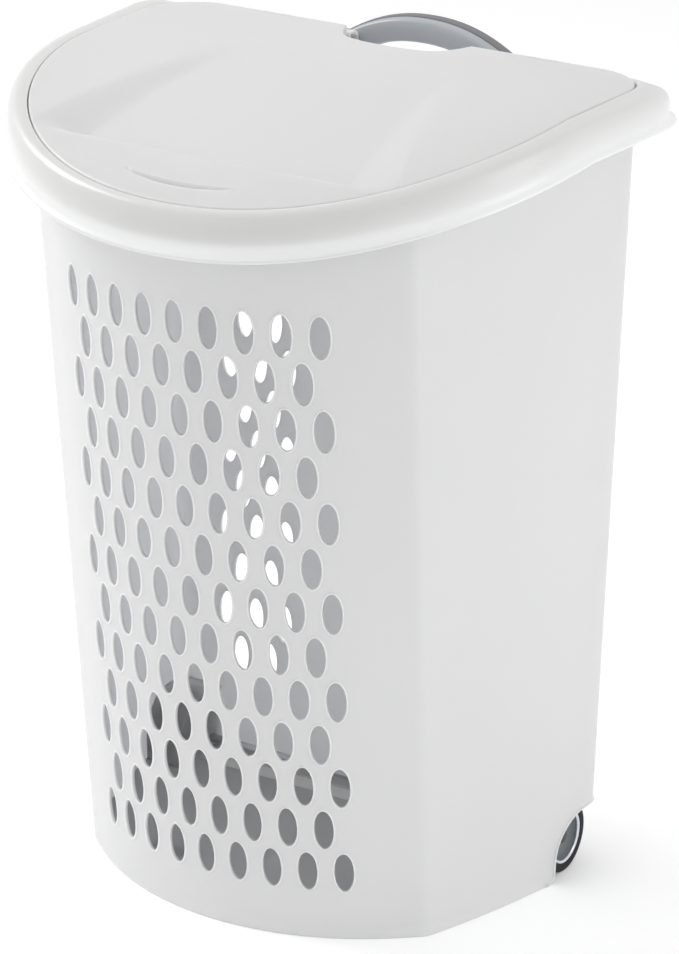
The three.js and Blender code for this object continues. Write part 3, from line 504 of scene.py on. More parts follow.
def tile_loop():
    """The square loop of a tile, as steps across and up, anticlockwise from the lower left corner."""
    low = [(i, 0) for i in range(TILE)]
    right = [(TILE, i) for i in range(TILE)]
    high = [(TILE - i, TILE) for i in range(TILE)]
    left = [(0, TILE - i) for i in range(TILE)]
    return low + right + high + left


def add_tile(points, faces, place, centre_s, centre_z):
    """One hole: outer loop, bead and opening on the outer skin, the opening's wall, the inner skin."""
    half_s, half_z = HOLE_PITCH / 2, ROW_PITCH / 2
    loop = [(i * 2 / TILE - 1, j * 2 / TILE - 1) for i, j in tile_loop()]
    square = [(a * half_s, b * half_z) for a, b in loop]

    def oval(extra):
        turns = [math.atan2(b, a) for a, b in loop]
        return [
            ((HOLE_HALF_WIDTH + extra) * math.cos(t), (HOLE_HALF_HEIGHT + extra) * math.sin(t)) for t in turns
        ]

    rings = [(square, 0.0)] + [(oval(out), proud) for out, proud in BEAD]
    rings += [(oval(0.0), -WALL + 0.5), (oval(0.3), -WALL), (square, -WALL)]
    base = len(points)
    for ring, proud in rings:
        points.extend(place(centre_s + s, centre_z + z, proud) for s, z in ring)
    count = len(loop)
    for r in range(len(rings) - 1):
        for i in range(count):
            j = (i + 1) % count
            low, high = base + r * count, base + (r + 1) * count
            faces.append((low + i, low + j, high + j, high + i))


def add_grid(points, faces, rows, keep):
    """A grid of rows of points round the wall; keep says which cells are plain."""
    base, count = len(points), len(rows[0])
    for row in rows:
        points.extend(row)
    for r in range(len(rows) - 1):
        for i in range(count):
            if keep(r, i):
                j = (i + 1) % count
                low, high = base + r * count, base + (r + 1) * count
                faces.append((low + i, low + j, high + j, high + i))


def towards(outline, point):
    """The point of an outline that lies in the same direction from the deck's centre."""
    turn = math.atan2(point[0], DECK_CENTRE_Y - point[1])
    for a, b in zip(outline, outline[1:] + outline[:1]):
        ta = math.atan2(a[0], DECK_CENTRE_Y - a[1])
        tb = math.atan2(b[0], DECK_CENTRE_Y - b[1])
        if abs(tb - ta) < math.pi and min(ta, tb) <= turn <= max(ta, tb):
            dx, dy = math.sin(turn), -math.cos(turn)
            ex, ey = b[0] - a[0], b[1] - a[1]
            reach = (a[0] * ey - (a[1] - DECK_CENTRE_Y) * ex) / (dx * ey - dy * ex)
            return (dx * reach, DECK_CENTRE_Y + dy * reach)
    return outline[len(outline) // 2]


COLLAR_SHARE, COLLAR_FOOT, COLLAR_TOP = 0.62, 25.0, 11.5


def wall_rows(proud):
    """Rows of points from the foot of one skin to the top of its collar."""
    band_rows = [mix(BAND_LOW, BAND_HIGH, i / (ROWS * TILE)) for i in range(ROWS * TILE + 1)]
    rows = []
    for z, edge in LOW_EDGE:
        moved = edge if proud == 0 else proud
        rows.append([(x, y, z) for x, y in offset_plan(plan(z), moved)])
    rows += [[(x, y, z) for x, y in offset_plan(plan(z), proud)] for z in band_rows]
    top_y = [y for x, y in plan(RIM_HEIGHT - LIP_DROP)]
    lip = [deck_height(y) - lip_drop(y) for y in top_y]
    for step in range(1, TOP_STEPS + 1):
        heights = [mix(BAND_HIGH, top, step / TOP_STEPS) for top in lip]
        rows.append([offset_plan(plan_cache(round(z, 1)), proud)[i] + (z,) for i, z in enumerate(heights)])
    seat = rows[-1]
    collar = deck_outline(grow(between(SEAT, FRAME_WALL, COLLAR_SHARE), proud))
    plan_at = [towards(collar, (x, y)) for x, y, z in seat]
    middle = [(mix(p[0], c[0], 0.35), mix(p[1], c[1], 0.35), p[2] + 5) for p, c in zip(seat, plan_at)]
    rows.append(middle)
    rows.append([(x, y, frame_height(y, COLLAR_FOOT)) for x, y in plan_at])
    rows.append([(x, y, frame_height(y, COLLAR_TOP)) for x, y in plan_at])
    return rows


plans = {}


def plan_cache(z):
    if z not in plans:
        plans[z] = plan(z)
    return plans[z]


def make_wall():
    points, faces = [], []
    first_band_row = len(LOW_EDGE)

    def plain(r, i):
        band_row = r - first_band_row
        if 0 <= band_row < ROWS * TILE:
            return not is_tiled(band_row // TILE, i)
        return True

    outer = wall_rows(0.0)
    inner = wall_rows(-WALL)
    add_grid(points, faces, outer, plain)
    add_grid(points, faces, inner, plain)
    add_grid(points, faces, [inner[0], outer[0]], lambda r, i: True)
    add_grid(points, faces, [outer[-1], inner[-1]], lambda r, i: True)
    holes = 0
    for row in range(ROWS):
        z = FIRST_ROW_Z + row * ROW_PITCH
        columns = FRONT_COLUMNS - row % 2
        for column in range(columns):
            add_tile(points, faces, bow_place, (column - (columns - 1) / 2) * HOLE_PITCH, z)
            holes += 1
        for column in range(BACK_COLUMNS - row % 2 if row else 0):
            x = BACK_FIRST_X + (column + row % 2 / 2) * HOLE_PITCH
            for side in (-1, 1):
                add_tile(points, faces, back_place, side * x, z)
                holes += 1
    wall = mesh_piece("tub_wall", points, faces)
    tidy_mesh(wall)
    print("tub wall:", holes, "ovals,", len(wall.data.polygons), "faces")
    return wall


wall = make_wall()

# %% [markdown]
# The finger notch is a rounded trapezium in plan, open to the back. The lid, the frame and the tub each go
# round it with their own distance, so one outline serves all three. The tub's part is a pocket: an opening
# cut in the back wall, lined by a thin wall and closed by a small floor.

# %% Finger notch and pocket
NOTCH_HALF, NOTCH_FRONT_HALF, NOTCH_FRONT = 60.0, 24.0, -27.0
NOTCH_END = 60.0
NOTCH_STEPS = 5  # between two corners of its outline
POCKET_FLOOR_Z = 600.0
POCKET_RINGS_Z = (615, 640, 665)
POCKET_GAP = 3.2
POCKET_TOP_Z = RIM_HEIGHT - 20.5
CLEAR_TOP = 800.0


def eased(before, a, b, after, t):
    """The point at t between a and b, on a smooth curve that also passes through their neighbours."""
    return tuple(
        p + 0.5 * (q - o) * t
        + (o - 2.5 * p + 2 * q - 0.5 * r) * t * t
        + 0.5 * (3 * p - o - 3 * q + r) * t ** 3
        for o, p, q, r in zip(before, a, b, after)
    )


def notch_outline(distance=0.0, end=NOTCH_END):
    """The notch's plan from its right end round the front to its left end, moved outwards."""
    corners = [
        (0, NOTCH_FRONT), (NOTCH_FRONT_HALF, NOTCH_FRONT + 1.5), (NOTCH_HALF * 0.7, NOTCH_FRONT + 7),
        (NOTCH_HALF * 0.88, NOTCH_FRONT + 19), (NOTCH_HALF, NOTCH_FRONT + 38), (NOTCH_HALF + 1, NOTCH_END),
    ]
    half = []
    for i in range(len(corners) - 1):
        before = corners[i - 1] if i else (-corners[1][0], corners[1][1])
        a, b = corners[i], corners[i + 1]
        after = corners[min(i + 2, len(corners) - 1)]
        half += [eased(before, a, b, after, step / NOTCH_STEPS) for step in range(NOTCH_STEPS)]
    half.append(corners[-1])
    half = [(x, y) for x, y in half if y <= end] + [(mix(NOTCH_HALF, NOTCH_HALF + 1, 0.5), end)]
    line = [(x, y) for x, y in reversed(half)] + [(-x, y) for x, y in half[1:]]
    moved = []
    for i, (x, y) in enumerate(line):
        before, after = line[max(0, i - 1)], line[min(len(line) - 1, i + 1)]
        along = Vector((after[0] - before[0], after[1] - before[1])).normalized()
        moved.append((x + along.y * distance, y - along.x * distance))
    return moved


def prism(name, low_ring, high_ring):
    """A closed solid between two rings that have the same number of points."""
    count = len(low_ring)
    sides = [(i, (i + 1) % count, count + (i + 1) % count, count + i) for i in range(count)]
    ends = [tuple(range(count))[::-1], tuple(range(count, 2 * count))]
    piece = mesh_piece(name, low_ring + high_ring, sides + ends)
    tidy_mesh(piece)
    return piece


def upright(name, line, low, high):
    """A closed solid over a line in plan."""
    return prism(name, [(x, y, low) for x, y in line], [(x, y, high) for x, y in line])


def notch_cutter(distance, low, high=CLEAR_TOP):
    return upright("cutter", notch_outline(distance), low, high)


cut(wall, notch_cutter(POCKET_GAP, POCKET_FLOOR_Z))
line = notch_outline(POCKET_GAP + WALL / 2, end=back_y(POCKET_FLOOR_Z) - 1)
pocket_rings = [[(x, y, z) for x, y in line] for z in (POCKET_FLOOR_Z - 1, *POCKET_RINGS_Z, POCKET_TOP_Z)]
lining = loft("pocket_lining", pocket_rings, closed=False)
floor_points = [(x, y, POCKET_FLOOR_Z - 1) for x, y in line]
pocket_floor = mesh_piece("pocket_floor", floor_points, [tuple(range(len(line)))])
pocket = join("finger_pocket", [lining, pocket_floor])
tidy_mesh(pocket)
apply(pocket, "SOLIDIFY", thickness=WALL * MM, offset=0)
print("pocket lining", len(pocket.data.polygons), "faces")

# %% [markdown]
# At the rear lower corners the side panels are cut away in an arch, so that the wheels show. The arch has
# soft corners where it meets the foot of the panel and the back, and a thin rolled bead along its edge
# catches the light. Behind the panel the wheel runs in a well: an inner wall and a roof moulded to the tub.

# %% Wheel arches and wells
WHEEL_RADIUS, WHEEL_Y = 32.0, -42.0
WELL_X, WELL_RADIUS = 172.0, 36.0
ARCH_Y, ARCH_Z, ARCH_RADIUS = -29.0, 19.0, 41.0
ARCH_SOFTNESS = 10.0
ARCH_BEAD = 1.1


def arc(centre, radius, start, end, steps):
    """Points on an arc in the (y, z) plane, angles in degrees from +y towards +z."""
    turns = [math.radians(mix(start, end, i / steps)) for i in range(steps + 1)]
    return [(centre[0] + radius * math.cos(t), centre[1] + radius * math.sin(t)) for t in turns]


def arch_line():
    """The arch's edge, from the foot of the panel over the wheel to the back, as (y, z)."""
    soft, front = ARCH_SOFTNESS, ARCH_Y - ARCH_RADIUS
    top = ARCH_Z + ARCH_RADIUS
    foot = arc((front - soft, soft), soft, -90, 0, 6)
    over = arc((ARCH_Y, ARCH_Z), ARCH_RADIUS, 180, 90, 18)
    rear = arc((back_y(top) - soft, top + soft), soft, -90, 0, 6)
    return foot + over + rear


def panel_x(y, z):
    """How far out the outer face of the side panel, or of the rear corner, lies at a place."""
    corner_y = back_y(z) - BACK_CORNER
    if y > corner_y:
        past = min(BACK_CORNER, y - corner_y)
        half = mix(BACK_HALF_FLOOR, BACK_HALF_RIM, z / RIM_HEIGHT)
        return half - BACK_CORNER + math.sqrt(BACK_CORNER ** 2 - past ** 2)
    low, high = 0.0, 1.0
    for _ in range(24):
        middle = (low + high) / 2
        if panel_place(middle, z).y < y:
            low = middle
        else:
            high = middle
    return panel_place(low, z).x


def side_prism(name, line, x0, x1):
    """A closed prism along X over a line in the (y, z) plane."""
    return prism(name, [(x0, y, z) for y, z in line], [(x1, y, z) for y, z in line])


BELOW, BEHIND, OUTSIDE = -8.0, 20.0, 300.0  # past the foot, the back and the side panels
for side in (-1, 1):
    edge = arch_line()
    cutter_line = [(edge[0][0], BELOW)] + edge + [(BEHIND, edge[-1][1]), (BEHIND, BELOW)]
    cut(wall, side_prism("cutter", cutter_line, side * (WELL_X - 1), side * OUTSIDE))
print("wall after the arches:", len(wall.data.polygons), "faces")


def tube(name, path, radius, sides=8):
    """A closed round rod along a path of design points."""
    rings = []
    for i, p in enumerate(path):
        ahead = Vector(path[min(i + 1, len(path) - 1)]) - Vector(path[max(i - 1, 0)])
        ahead.normalize()
        across = ahead.cross(Vector((0.3, 0.2, 1))).normalized()
        over = across.cross(ahead)
        centre = Vector(p)
        turns = [k / sides * 2 * math.pi for k in range(sides)]
        spokes = [across * math.cos(t) + over * math.sin(t) for t in turns]
        rings.append([tuple(centre + spoke * radius) for spoke in spokes])
    rod = loft(name, rings)
    only(rod)
    bpy.ops.object.mode_set(mode="EDIT")
    bpy.ops.mesh.select_all(action="DESELECT")
    bpy.ops.mesh.select_non_manifold()
    bpy.ops.mesh.edge_face_add()
    bpy.ops.mesh.select_all(action="SELECT")
    bpy.ops.mesh.normals_make_consistent(inside=False)
    bpy.ops.object.mode_set(mode="OBJECT")
    return rod


WELL_BACK_Y = -9.0


def well_line():
    """The wheel well's section behind the panel: front wall, round roof, level roof to the back."""
    low = WHEEL_Y - WELL_RADIUS
    top = WHEEL_RADIUS + WELL_RADIUS
    roof = arc((WHEEL_Y, WHEEL_RADIUS), WELL_RADIUS, 180, 90, 14)
    return [(low, 0.0), (low, 14.0)] + roof + [(-26.0, top), (WELL_BACK_Y, top)]


wells = []
for side, word in ((-1, "left"), (1, "right")):
    line = well_line()
    inner = [(side * WELL_X, y, z) for y, z in line]
    outer = [(side * (panel_x(y, z) - WALL - 0.2), y, z) for y, z in line]
    count = len(line)
    roof_faces = [(i, i + 1, count + i + 1, count + i) for i in range(count - 1)]
    corner = [(side * WELL_X, WELL_BACK_Y, 0.0)]
    inner_wall = tuple(range(count)) + (2 * count,)
    well = mesh_piece("wheel_well_" + word, inner + outer + corner, roof_faces + [inner_wall])
    tidy_mesh(well)
    apply(well, "SOLIDIFY", thickness=WALL * MM, offset=0)
    apply(well, "BEVEL", width=0.8 * MM, segments=2, limit_method="ANGLE", angle_limit=math.radians(50))
    wells.append(well)
    path = [(side * panel_x(y, z), y, max(z, ARCH_BEAD)) for y, z in arch_line()]
    wells.append(tube("arch_bead_" + word, path, ARCH_BEAD))

# %% [markdown]
# Underneath, a floor plate closes the tub a finger's width above the ground. It has a channel for the axle
# and two bevelled feet near the front. These are box shapes: a primitive cube, sized, bevelled and, for the
# channel, opened by deleting three faces and thickened.

# %% Floor plate, axle channel, bosses and feet
FLOOR_PLATE_Z = 13.0
PLATE_CUT_TOP = 30.0  # above the plate
TUNNEL_HALF, TUNNEL_TOP = 11.2, 45.2
BOSS_X, BOSS_RADIUS = 160.0, 8.0
FOOT_X, FOOT_INSET, FOOT_WIDTH, FOOT_DEPTH = 80.0, 60.0, 50.0, 14.0


def block(name, low, high, bevel=1.0, segments=3):
    """A bevelled box between two design corners."""
    bpy.ops.object.select_all(action="DESELECT")
    centre = to_frame([(a + b) / 2 for a, b in zip(low, high)])
    bpy.ops.mesh.primitive_cube_add(size=1, location=centre, scale=[(b - a) * MM for a, b in zip(low, high)])
    piece = bpy.context.object
    piece.name = name
    settle(piece)
    if bevel:
        apply(piece, "BEVEL", width=bevel * MM, segments=segments, limit_method="ANGLE")
    return piece


def rod_x(name, x0, x1, y, z, radius, sides=32, bevel=0.5):
    """A bevelled cylinder along X."""
    bpy.ops.object.select_all(action="DESELECT")
    bpy.ops.mesh.primitive_cylinder_add(
        vertices=sides, radius=radius * MM, depth=abs(x1 - x0) * MM,
        location=to_frame(((x0 + x1) / 2, y, z)), rotation=(0, math.pi / 2, 0),
    )
    piece = bpy.context.object
    piece.name = name
    settle(piece)
    if bevel:
        apply(piece, "BEVEL", width=bevel * MM, segments=3, limit_method="ANGLE")
    return piece


plate_plan = offset_plan(plan(FLOOR_PLATE_Z), -WALL * 0.8)
plate = upright("floor_plate", plate_plan, FLOOR_PLATE_Z - WALL / 2, FLOOR_PLATE_Z + WALL / 2)
for side in (-1, 1):
    near, far = sorted((side * WELL_X, side * OUTSIDE))
    cut(plate, block("cutter", (near, WHEEL_Y - WELL_RADIUS, -5), (far, 40, PLATE_CUT_TOP), bevel=0))
tunnel_front, tunnel_back = WHEEL_Y - TUNNEL_HALF, WHEEL_Y + TUNNEL_HALF
cut(plate, block("cutter", (-WELL_X - 1, tunnel_front, 0), (WELL_X + 1, tunnel_back, PLATE_CUT_TOP), bevel=0))

channel = block("axle_channel", (-WELL_X, tunnel_front, 12), (WELL_X, tunnel_back, TUNNEL_TOP), bevel=0)
only(channel)
bpy.ops.object.mode_set(mode="EDIT")
bpy.ops.mesh.select_all(action="DESELECT")
bpy.ops.object.mode_set(mode="OBJECT")
for face in channel.data.polygons:
    face.select = face.normal.z < -0.9 or abs(face.normal.x) > 0.9
bpy.ops.object.mode_set(mode="EDIT")
bpy.ops.mesh.delete(type="FACE")
bpy.ops.object.mode_set(mode="OBJECT")
apply(channel, "SOLIDIFY", thickness=WALL * MM, offset=0)
apply(channel, "BEVEL", width=0.7 * MM, segments=2, limit_method="ANGLE")

bosses = [
    rod_x("axle_boss", s * BOSS_X, s * (WELL_X - 0.5), WHEEL_Y, WHEEL_RADIUS, BOSS_RADIUS, bevel=0.8)
    for s in (-1, 1)
]
foot_y = FRONT_FLOOR_Y + FOOT_INSET
feet = [
    block("foot", (x - FOOT_WIDTH / 2, foot_y, 0.02), (x + FOOT_WIDTH / 2, foot_y + FOOT_DEPTH, 12.4), 2.0, 4)
    for x in (-FOOT_X, FOOT_X)
]
base = join("tub_base", [plate, channel] + bosses + feet + wells)
for part in (wall, pocket, base):
    print(part.name, "made")

# %% [markdown]
# The rim frame covers the tub's collar. Its section starts at a ledge under the lid, rises to the seam, rolls
# over in a large soft quarter round, drops nearly straight and ends in a small lip that stands out. The
# section is swept round the deck outline as a loft and given its wall with Solidify.

# %% Rim frame
ROLL_DROP = 18.0
ROLL_SQUARENESS = 1.9
ROLL_STEPS = 14
LEDGE_DROP, LEDGE_DROP_REAR, LEDGE_WIDTH = 9.0, 17.0, 9.0
LIP_SECTION = [  # share of the way out from the frame's wall to the lip's edge, and drop below the deck
    (0.0, 24.0), (0.06, 28.0), (0.25, 30.2), (0.6, 31.6), (0.9, 32.5),
    (1.0, 33.3), (1.0, 34.0), (0.86, 34.7), (0.62, 35.0),
]


def deck_ring(outline, height_of):
    return [(x, y, height_of(y)) for x, y in deck_outline(outline)]


def ledge_height(y):
    return deck_height(y) - mix(LEDGE_DROP, LEDGE_DROP_REAR, smooth((y + 62) / 25))


def frame_ring(outline, drop):
    return deck_ring(outline, lambda y: frame_height(y, drop))


def make_rim_frame():
    rings = [
        deck_ring(grow(SEAT, -LEDGE_WIDTH), ledge_height),
        deck_ring(grow(SEAT, -0.6), ledge_height),
        deck_ring(SEAT, lambda y: ledge_height(y) + 0.6),
        frame_ring(SEAT, 1.4),
        frame_ring(grow(SEAT, 0.12), 0.75),
        frame_ring(grow(SEAT, 0.5), 0.3),
    ]
    for i in range(ROLL_STEPS + 1):
        turn = mix(0.09, 1.0, i / ROLL_STEPS) * math.pi / 2
        drop = ROLL_DROP * (1 - math.cos(turn)) ** ROLL_SQUARENESS
        rings.append(frame_ring(between(SEAT, FRAME_WALL, math.sin(turn)), drop))
    for share, drop in LIP_SECTION:
        rings.append(frame_ring(between(FRAME_WALL, LIP, share), drop))
    shell = loft("rim_frame_shell", rings[::-1])
    tidy_mesh(shell, recalculate=False)
    apply(shell, "SOLIDIFY", thickness=WALL * 0.9 * MM, offset=-1)
    return shell


frame_shell = make_rim_frame()
low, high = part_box("rim_frame")
print("frame height", round((high[2] - low[2]) / MM, 1), "mm in CAD")

# %% [markdown]
# Where the notch passes, the frame is cut open and a wall goes round the opening. Two small ears hold the
# hinge pins.

# %% Frame notch, lining and ears
LINING_FOOT_Z, LINING_TOP_Z = 640.0, 688.0
LINING_RINGS_Z = (650, 660, 670)
HINGE_DROP, HINGE_X = 6.0, 130.0
KNUCKLE_RADIUS, KNUCKLE_LENGTH, KNUCKLE_GAP = 3.2, 9.0, 0.5
PIN_RADIUS = 1.6
HINGE_Z = RIM_HEIGHT - HINGE_DROP
HINGE_Y = LID["back"]

cut(frame_shell, notch_cutter(0.0, LINING_FOOT_Z - 10), folded=True)
rim_back = FRAME_WALL["back"] - 0.6
lining_line = notch_outline(WALL / 2, end=rim_back)
lining_top = LINING_TOP_Z - REAR_STEP - 0.4
frame_lining = loft(
    "frame_lining",
    [[(x, y, z) for x, y in lining_line] for z in (LINING_FOOT_Z, *LINING_RINGS_Z, lining_top)],
    closed=False,
)
tidy_mesh(frame_lining)
apply(frame_lining, "SOLIDIFY", thickness=WALL * MM, offset=0)
apply(frame_lining, "BEVEL", width=0.9 * MM, segments=3, limit_method="ANGLE", angle_limit=math.radians(60))


def knuckle(name, x, drop_to):
    """A hinge knuckle: a short barrel on a foot."""
    half = KNUCKLE_LENGTH / 2
    barrel = rod_x(name, x - half, x + half, HINGE_Y, HINGE_Z, KNUCKLE_RADIUS, bevel=0.4)
    reach = KNUCKLE_RADIUS - 0.1
    low, high = sorted((drop_to, HINGE_Z))
    back = HINGE_Y + reach * (drop_to < HINGE_Z)
    foot = block(name + "_foot", (x - half, HINGE_Y - reach, low), (x + half, back, high), 0.4, 2)
    return join(name, [barrel, foot])


ears = [knuckle("frame_ear", s * HINGE_X, RIM_HEIGHT - LEDGE_DROP_REAR - 1) for s in (-1, 1)]
frame_shell = join("rim_frame_shell", [frame_shell, frame_lining] + ears)
print("rim frame", len(frame_shell.data.polygons), "faces")

# %% [markdown]
# The lid lies flush in the frame. Its top is the deck's surface with a shallow fan-shaped valley pressed in:
# the valley's two walls start wide at the front and run to a point near the hinge. A crescent finger pull
# sits at the front edge: a steep rear wall under a crisp lip, and a scoop that runs out forwards. Both are
# worked into the height of the surface, which is laid in rings that follow the lid's own edge.

# %% Lid surface
LID_CENTRE_Y = -200.0
EDGE_SOFTNESS = 1.4
LID_SKIRT = 8.0
LID_NOTCH_GAP = 0.8
LID_EDGE_RINGS, LID_EDGE_SPACING = 27, 0.0095  # close together, for the finger pull
LID_INNER_RINGS = 26
VALLEY_DEPTH = 13.0
VALLEY_CRISPNESS = 0.7  # 0 gives soft walls, 1 flat walls with sharp edges
VALLEY_BACK_Y, VALLEY_FRONT_Y, VALLEY_END = -85.0, -290.0, 22.0
VALLEY_FOOT_FRONT, VALLEY_FOOT_BACK = 123.0, 95.0
VALLEY_CREST_FRONT, VALLEY_CREST_BACK = 170.0, 100.0
PULL_Y, PULL_HALF, PULL_WIDTH, PULL_BOW, PULL_DEPTH = -336.5, 52.0, 5.5, 9.0, 4.6
PULL_WALL = 1.2


def valley_depth(x, y):
    along = (y - VALLEY_FRONT_Y) / (VALLEY_BACK_Y - VALLEY_FRONT_Y)
    inside = min(1.0, along)
    foot = mix(VALLEY_FOOT_FRONT, VALLEY_FOOT_BACK, inside)
    crest = mix(VALLEY_CREST_FRONT, VALLEY_CREST_BACK, inside)
    across = min(1.0, max(0.0, (abs(x) - foot) / (crest - foot)))
    side = 1 - mix(smooth(across), across, VALLEY_CRISPNESS)
    front = smooth((y - VALLEY_FRONT_Y) / VALLEY_END + 0.5)
    return VALLEY_DEPTH * side * (1 - inside) * front


def pull_depth(x, y):
    t = x / PULL_HALF
    if abs(t) >= 1:
        return 0.0
    rear = PULL_Y + PULL_BOW * t * t + 4 * (1 - t * t)
    width = PULL_WIDTH * (1 - t * t)
    behind = smooth((rear - y) / PULL_WALL)
    forward = 1 - smooth((rear - PULL_WALL - y) / max(width, 0.5))
    return PULL_DEPTH * (1 - t * t) ** 0.5 * behind * forward


def lid_height(x, y):
    return deck_height(y) - valley_depth(x, y) - pull_depth(x, y)


def dense(points, longest=3.5):
    """The closed outline with its long steps divided."""
    finer = []
    for a, b in zip(points, points[1:] + points[:1]):
        steps = max(1, math.ceil(math.dist(a, b) / longest))
        finer += [(mix(a[0], b[0], i / steps), mix(a[1], b[1], i / steps)) for i in range(steps)]
    return finer


def lid_outline():
    """The lid's D with the notch taken out of its back edge and a small round at each notch corner."""
    deck = deck_outline(LID)
    notch = notch_outline(LID_NOTCH_GAP, end=LID["back"] - 2.5)
    mouth = notch[0][0]
    right = [p for p in deck[: len(deck) // 2 + 1] if p[0] > mouth + 4 or p[1] < 0]
    left = [p for p in deck[len(deck) // 2 + 1:] if p[0] < -mouth - 4 or p[1] < 0]
    corner_right = [(mouth + 2.5, LID["back"]), (mouth + 0.7, LID["back"] - 0.7)]
    corner_left = [(-x, y) for x, y in reversed(corner_right)]
    return dense(right + corner_right + notch + corner_left + left)


def make_lid():
    outline = lid_outline()
    centre = (0.0, LID_CENTRE_Y)
    count = len(outline)

    def ring(inwards, drop):
        moved = offset_plan(outline, -inwards)
        return [(x, y, deck_height(y) - drop) for x, y in moved]

    rings = [ring(0, LID_SKIRT), ring(0, LID_SKIRT * 0.6), ring(0, EDGE_SOFTNESS)]
    for i in range(1, 4):
        turn = i / 4 * math.pi / 2
        rings.append(ring(EDGE_SOFTNESS * (1 - math.cos(turn)), EDGE_SOFTNESS * (1 - math.sin(turn))))
    rim = offset_plan(outline, -EDGE_SOFTNESS)
    shares = [1 - LID_EDGE_SPACING * i for i in range(LID_EDGE_RINGS)]
    shares += [shares[-1] * (1 - i / LID_INNER_RINGS) for i in range(1, LID_INNER_RINGS)]
    for share in shares:
        row = [(x * share, centre[1] + (y - centre[1]) * share) for x, y in rim]
        rings.append([(x, y, lid_height(x, y)) for x, y in row])
    points = [p for r in rings for p in r] + [(0, centre[1], lid_height(0, centre[1]))]
    faces = []
    for r in range(len(rings) - 1):
        for i in range(count):
            j = (i + 1) % count
            faces.append((r * count + i, r * count + j, (r + 1) * count + j, (r + 1) * count + i))
    last = (len(rings) - 1) * count
    faces += [(last + i, last + (i + 1) % count, len(points) - 1) for i in range(count)]
    lid = mesh_piece("lid_panel", points, faces)
    tidy_mesh(lid, recalculate=False)
    apply(lid, "SOLIDIFY", thickness=(WALL - 0.2) * MM, offset=-1)
    return lid


lid = make_lid()
beside = KNUCKLE_LENGTH + KNUCKLE_GAP
lid_knuckles = [
    knuckle("lid_knuckle", s * (HINGE_X + d * beside), RIM_HEIGHT - 1.0) for s in (-1, 1) for d in (-1, 1)
]
slot_half = KNUCKLE_LENGTH / 2 + KNUCKLE_GAP
for side in (-1, 1):
    slot_low = (side * HINGE_X - slot_half, HINGE_Y - 6, HINGE_Z - 12)
    slot_high = (side * HINGE_X + slot_half, HINGE_Y + 4, RIM_HEIGHT - WALL)
    cut(lid, block("cutter", slot_low, slot_high, bevel=0))
lid = join("lid_panel", [lid] + lid_knuckles)
print("lid", len(lid.data.polygons), "faces")

# %% [markdown]
# The grip is two shells: a glossy front one with a rounded face, and a matt one that makes the top and the
# rear. Both follow the same arch. A section is drawn once for each and swept along it; the ends run into
# flat pads that are screwed to the frame.

# %% Grip shells
GRIP_FRONT_Y, GRIP_SPLIT_Y, GRIP_BACK_Y = 32.5, 43.0, 56.0
GRIP_CROWN_Z, GRIP_RISE, GRIP_HALF, GRIP_THICK = 695.0, 30.0, 86.0, 22.0
PAD_INNER, PAD_OUTER, PAD_LOW, PAD_HIGH = 72.0, 104.0, 671.8, 681.0
GRIP_STEPS = 48
PART_GAP = 0.3


def arch_height(x):
    return GRIP_CROWN_Z - GRIP_RISE * abs(x / GRIP_HALF) ** 2.2


def rounded(corners, radii, steps=4):
    """A closed section with its corners rounded."""
    count = len(corners)
    points = []
    for i, corner in enumerate(corners):
        before, after = Vector(corners[i - 1]), Vector(corners[(i + 1) % count])
        at = Vector(corner)
        start = at + (before - at).normalized() * radii[i]
        end = at + (after - at).normalized() * radii[i]
        for step in range(steps + 1):
            t = step / steps
            points.append(tuple(start.lerp(at, t).lerp(at.lerp(end, t), t)))
    return points


def grip_arch(name, section):
    rings = []
    for i in range(GRIP_STEPS + 1):
        x = mix(-GRIP_HALF, GRIP_HALF, i / GRIP_STEPS)
        slope = arch_height(x + 0.5) - arch_height(x - 0.5)
        normal = Vector((-slope, 0, 1)).normalized()
        centre = Vector((x, 0, arch_height(x)))
        rings.append([tuple(centre + normal * n + Vector((0, y, 0))) for n, y in section])
    count = len(section)
    arch = loft(name, rings)
    caps = [tuple(range(count)), tuple(range(GRIP_STEPS * count, (GRIP_STEPS + 1) * count))]
    points = [p for ring in rings for p in ring]
    faces = [tuple(face.vertices) for face in arch.data.polygons] + caps
    bpy.data.objects.remove(arch)
    arch = mesh_piece(name, points, faces)
    tidy_mesh(arch)
    return arch


def grip_shell(name, section, y0, y1, soft):
    arch = grip_arch(name, section)
    pads = []
    for side in (-1, 1):
        near, far = sorted((side * PAD_INNER, side * PAD_OUTER))
        pads.append(block("pad", (near, y0, PAD_LOW), (far, y1, PAD_HIGH), soft, 4))
    for pad in pads:
        cut(arch, pad, "UNION")
    cut(arch, block("cutter", (-150, 0, 600), (150, 80, PAD_LOW), bevel=0))
    return arch


half = GRIP_THICK / 2
front_section = rounded(
    [(-half + 1, GRIP_SPLIT_Y), (half - 1, GRIP_SPLIT_Y), (half - 1.6, GRIP_FRONT_Y + 1.2),
     (0, GRIP_FRONT_Y - 0.2), (-half + 1, GRIP_FRONT_Y + 1.6)],
    [0.6, 0.8, 2.6, 5.0, 2.6],
)
rear_section = rounded(
    [(-half, GRIP_SPLIT_Y + PART_GAP), (-half, GRIP_BACK_Y),
     (half, GRIP_BACK_Y), (half, GRIP_SPLIT_Y + PART_GAP)],
    [0.8, 5.0, 5.0, 1.2],
)
grip_front = grip_shell("grip_front", front_section, GRIP_FRONT_Y, GRIP_SPLIT_Y, 1.2)
grip_rear = grip_shell("grip_rear", rear_section, GRIP_SPLIT_Y + PART_GAP, GRIP_BACK_Y, 1.6)
print("grip", len(grip_front.data.polygons), len(grip_rear.data.polygons), "faces")

# %% [markdown]
# Four screws hold the grip. Each head sits in a counterbore, so the rear shell gets four round holes. The
# head is a bevelled cylinder with a cross cut into it, joined to a plain shank.

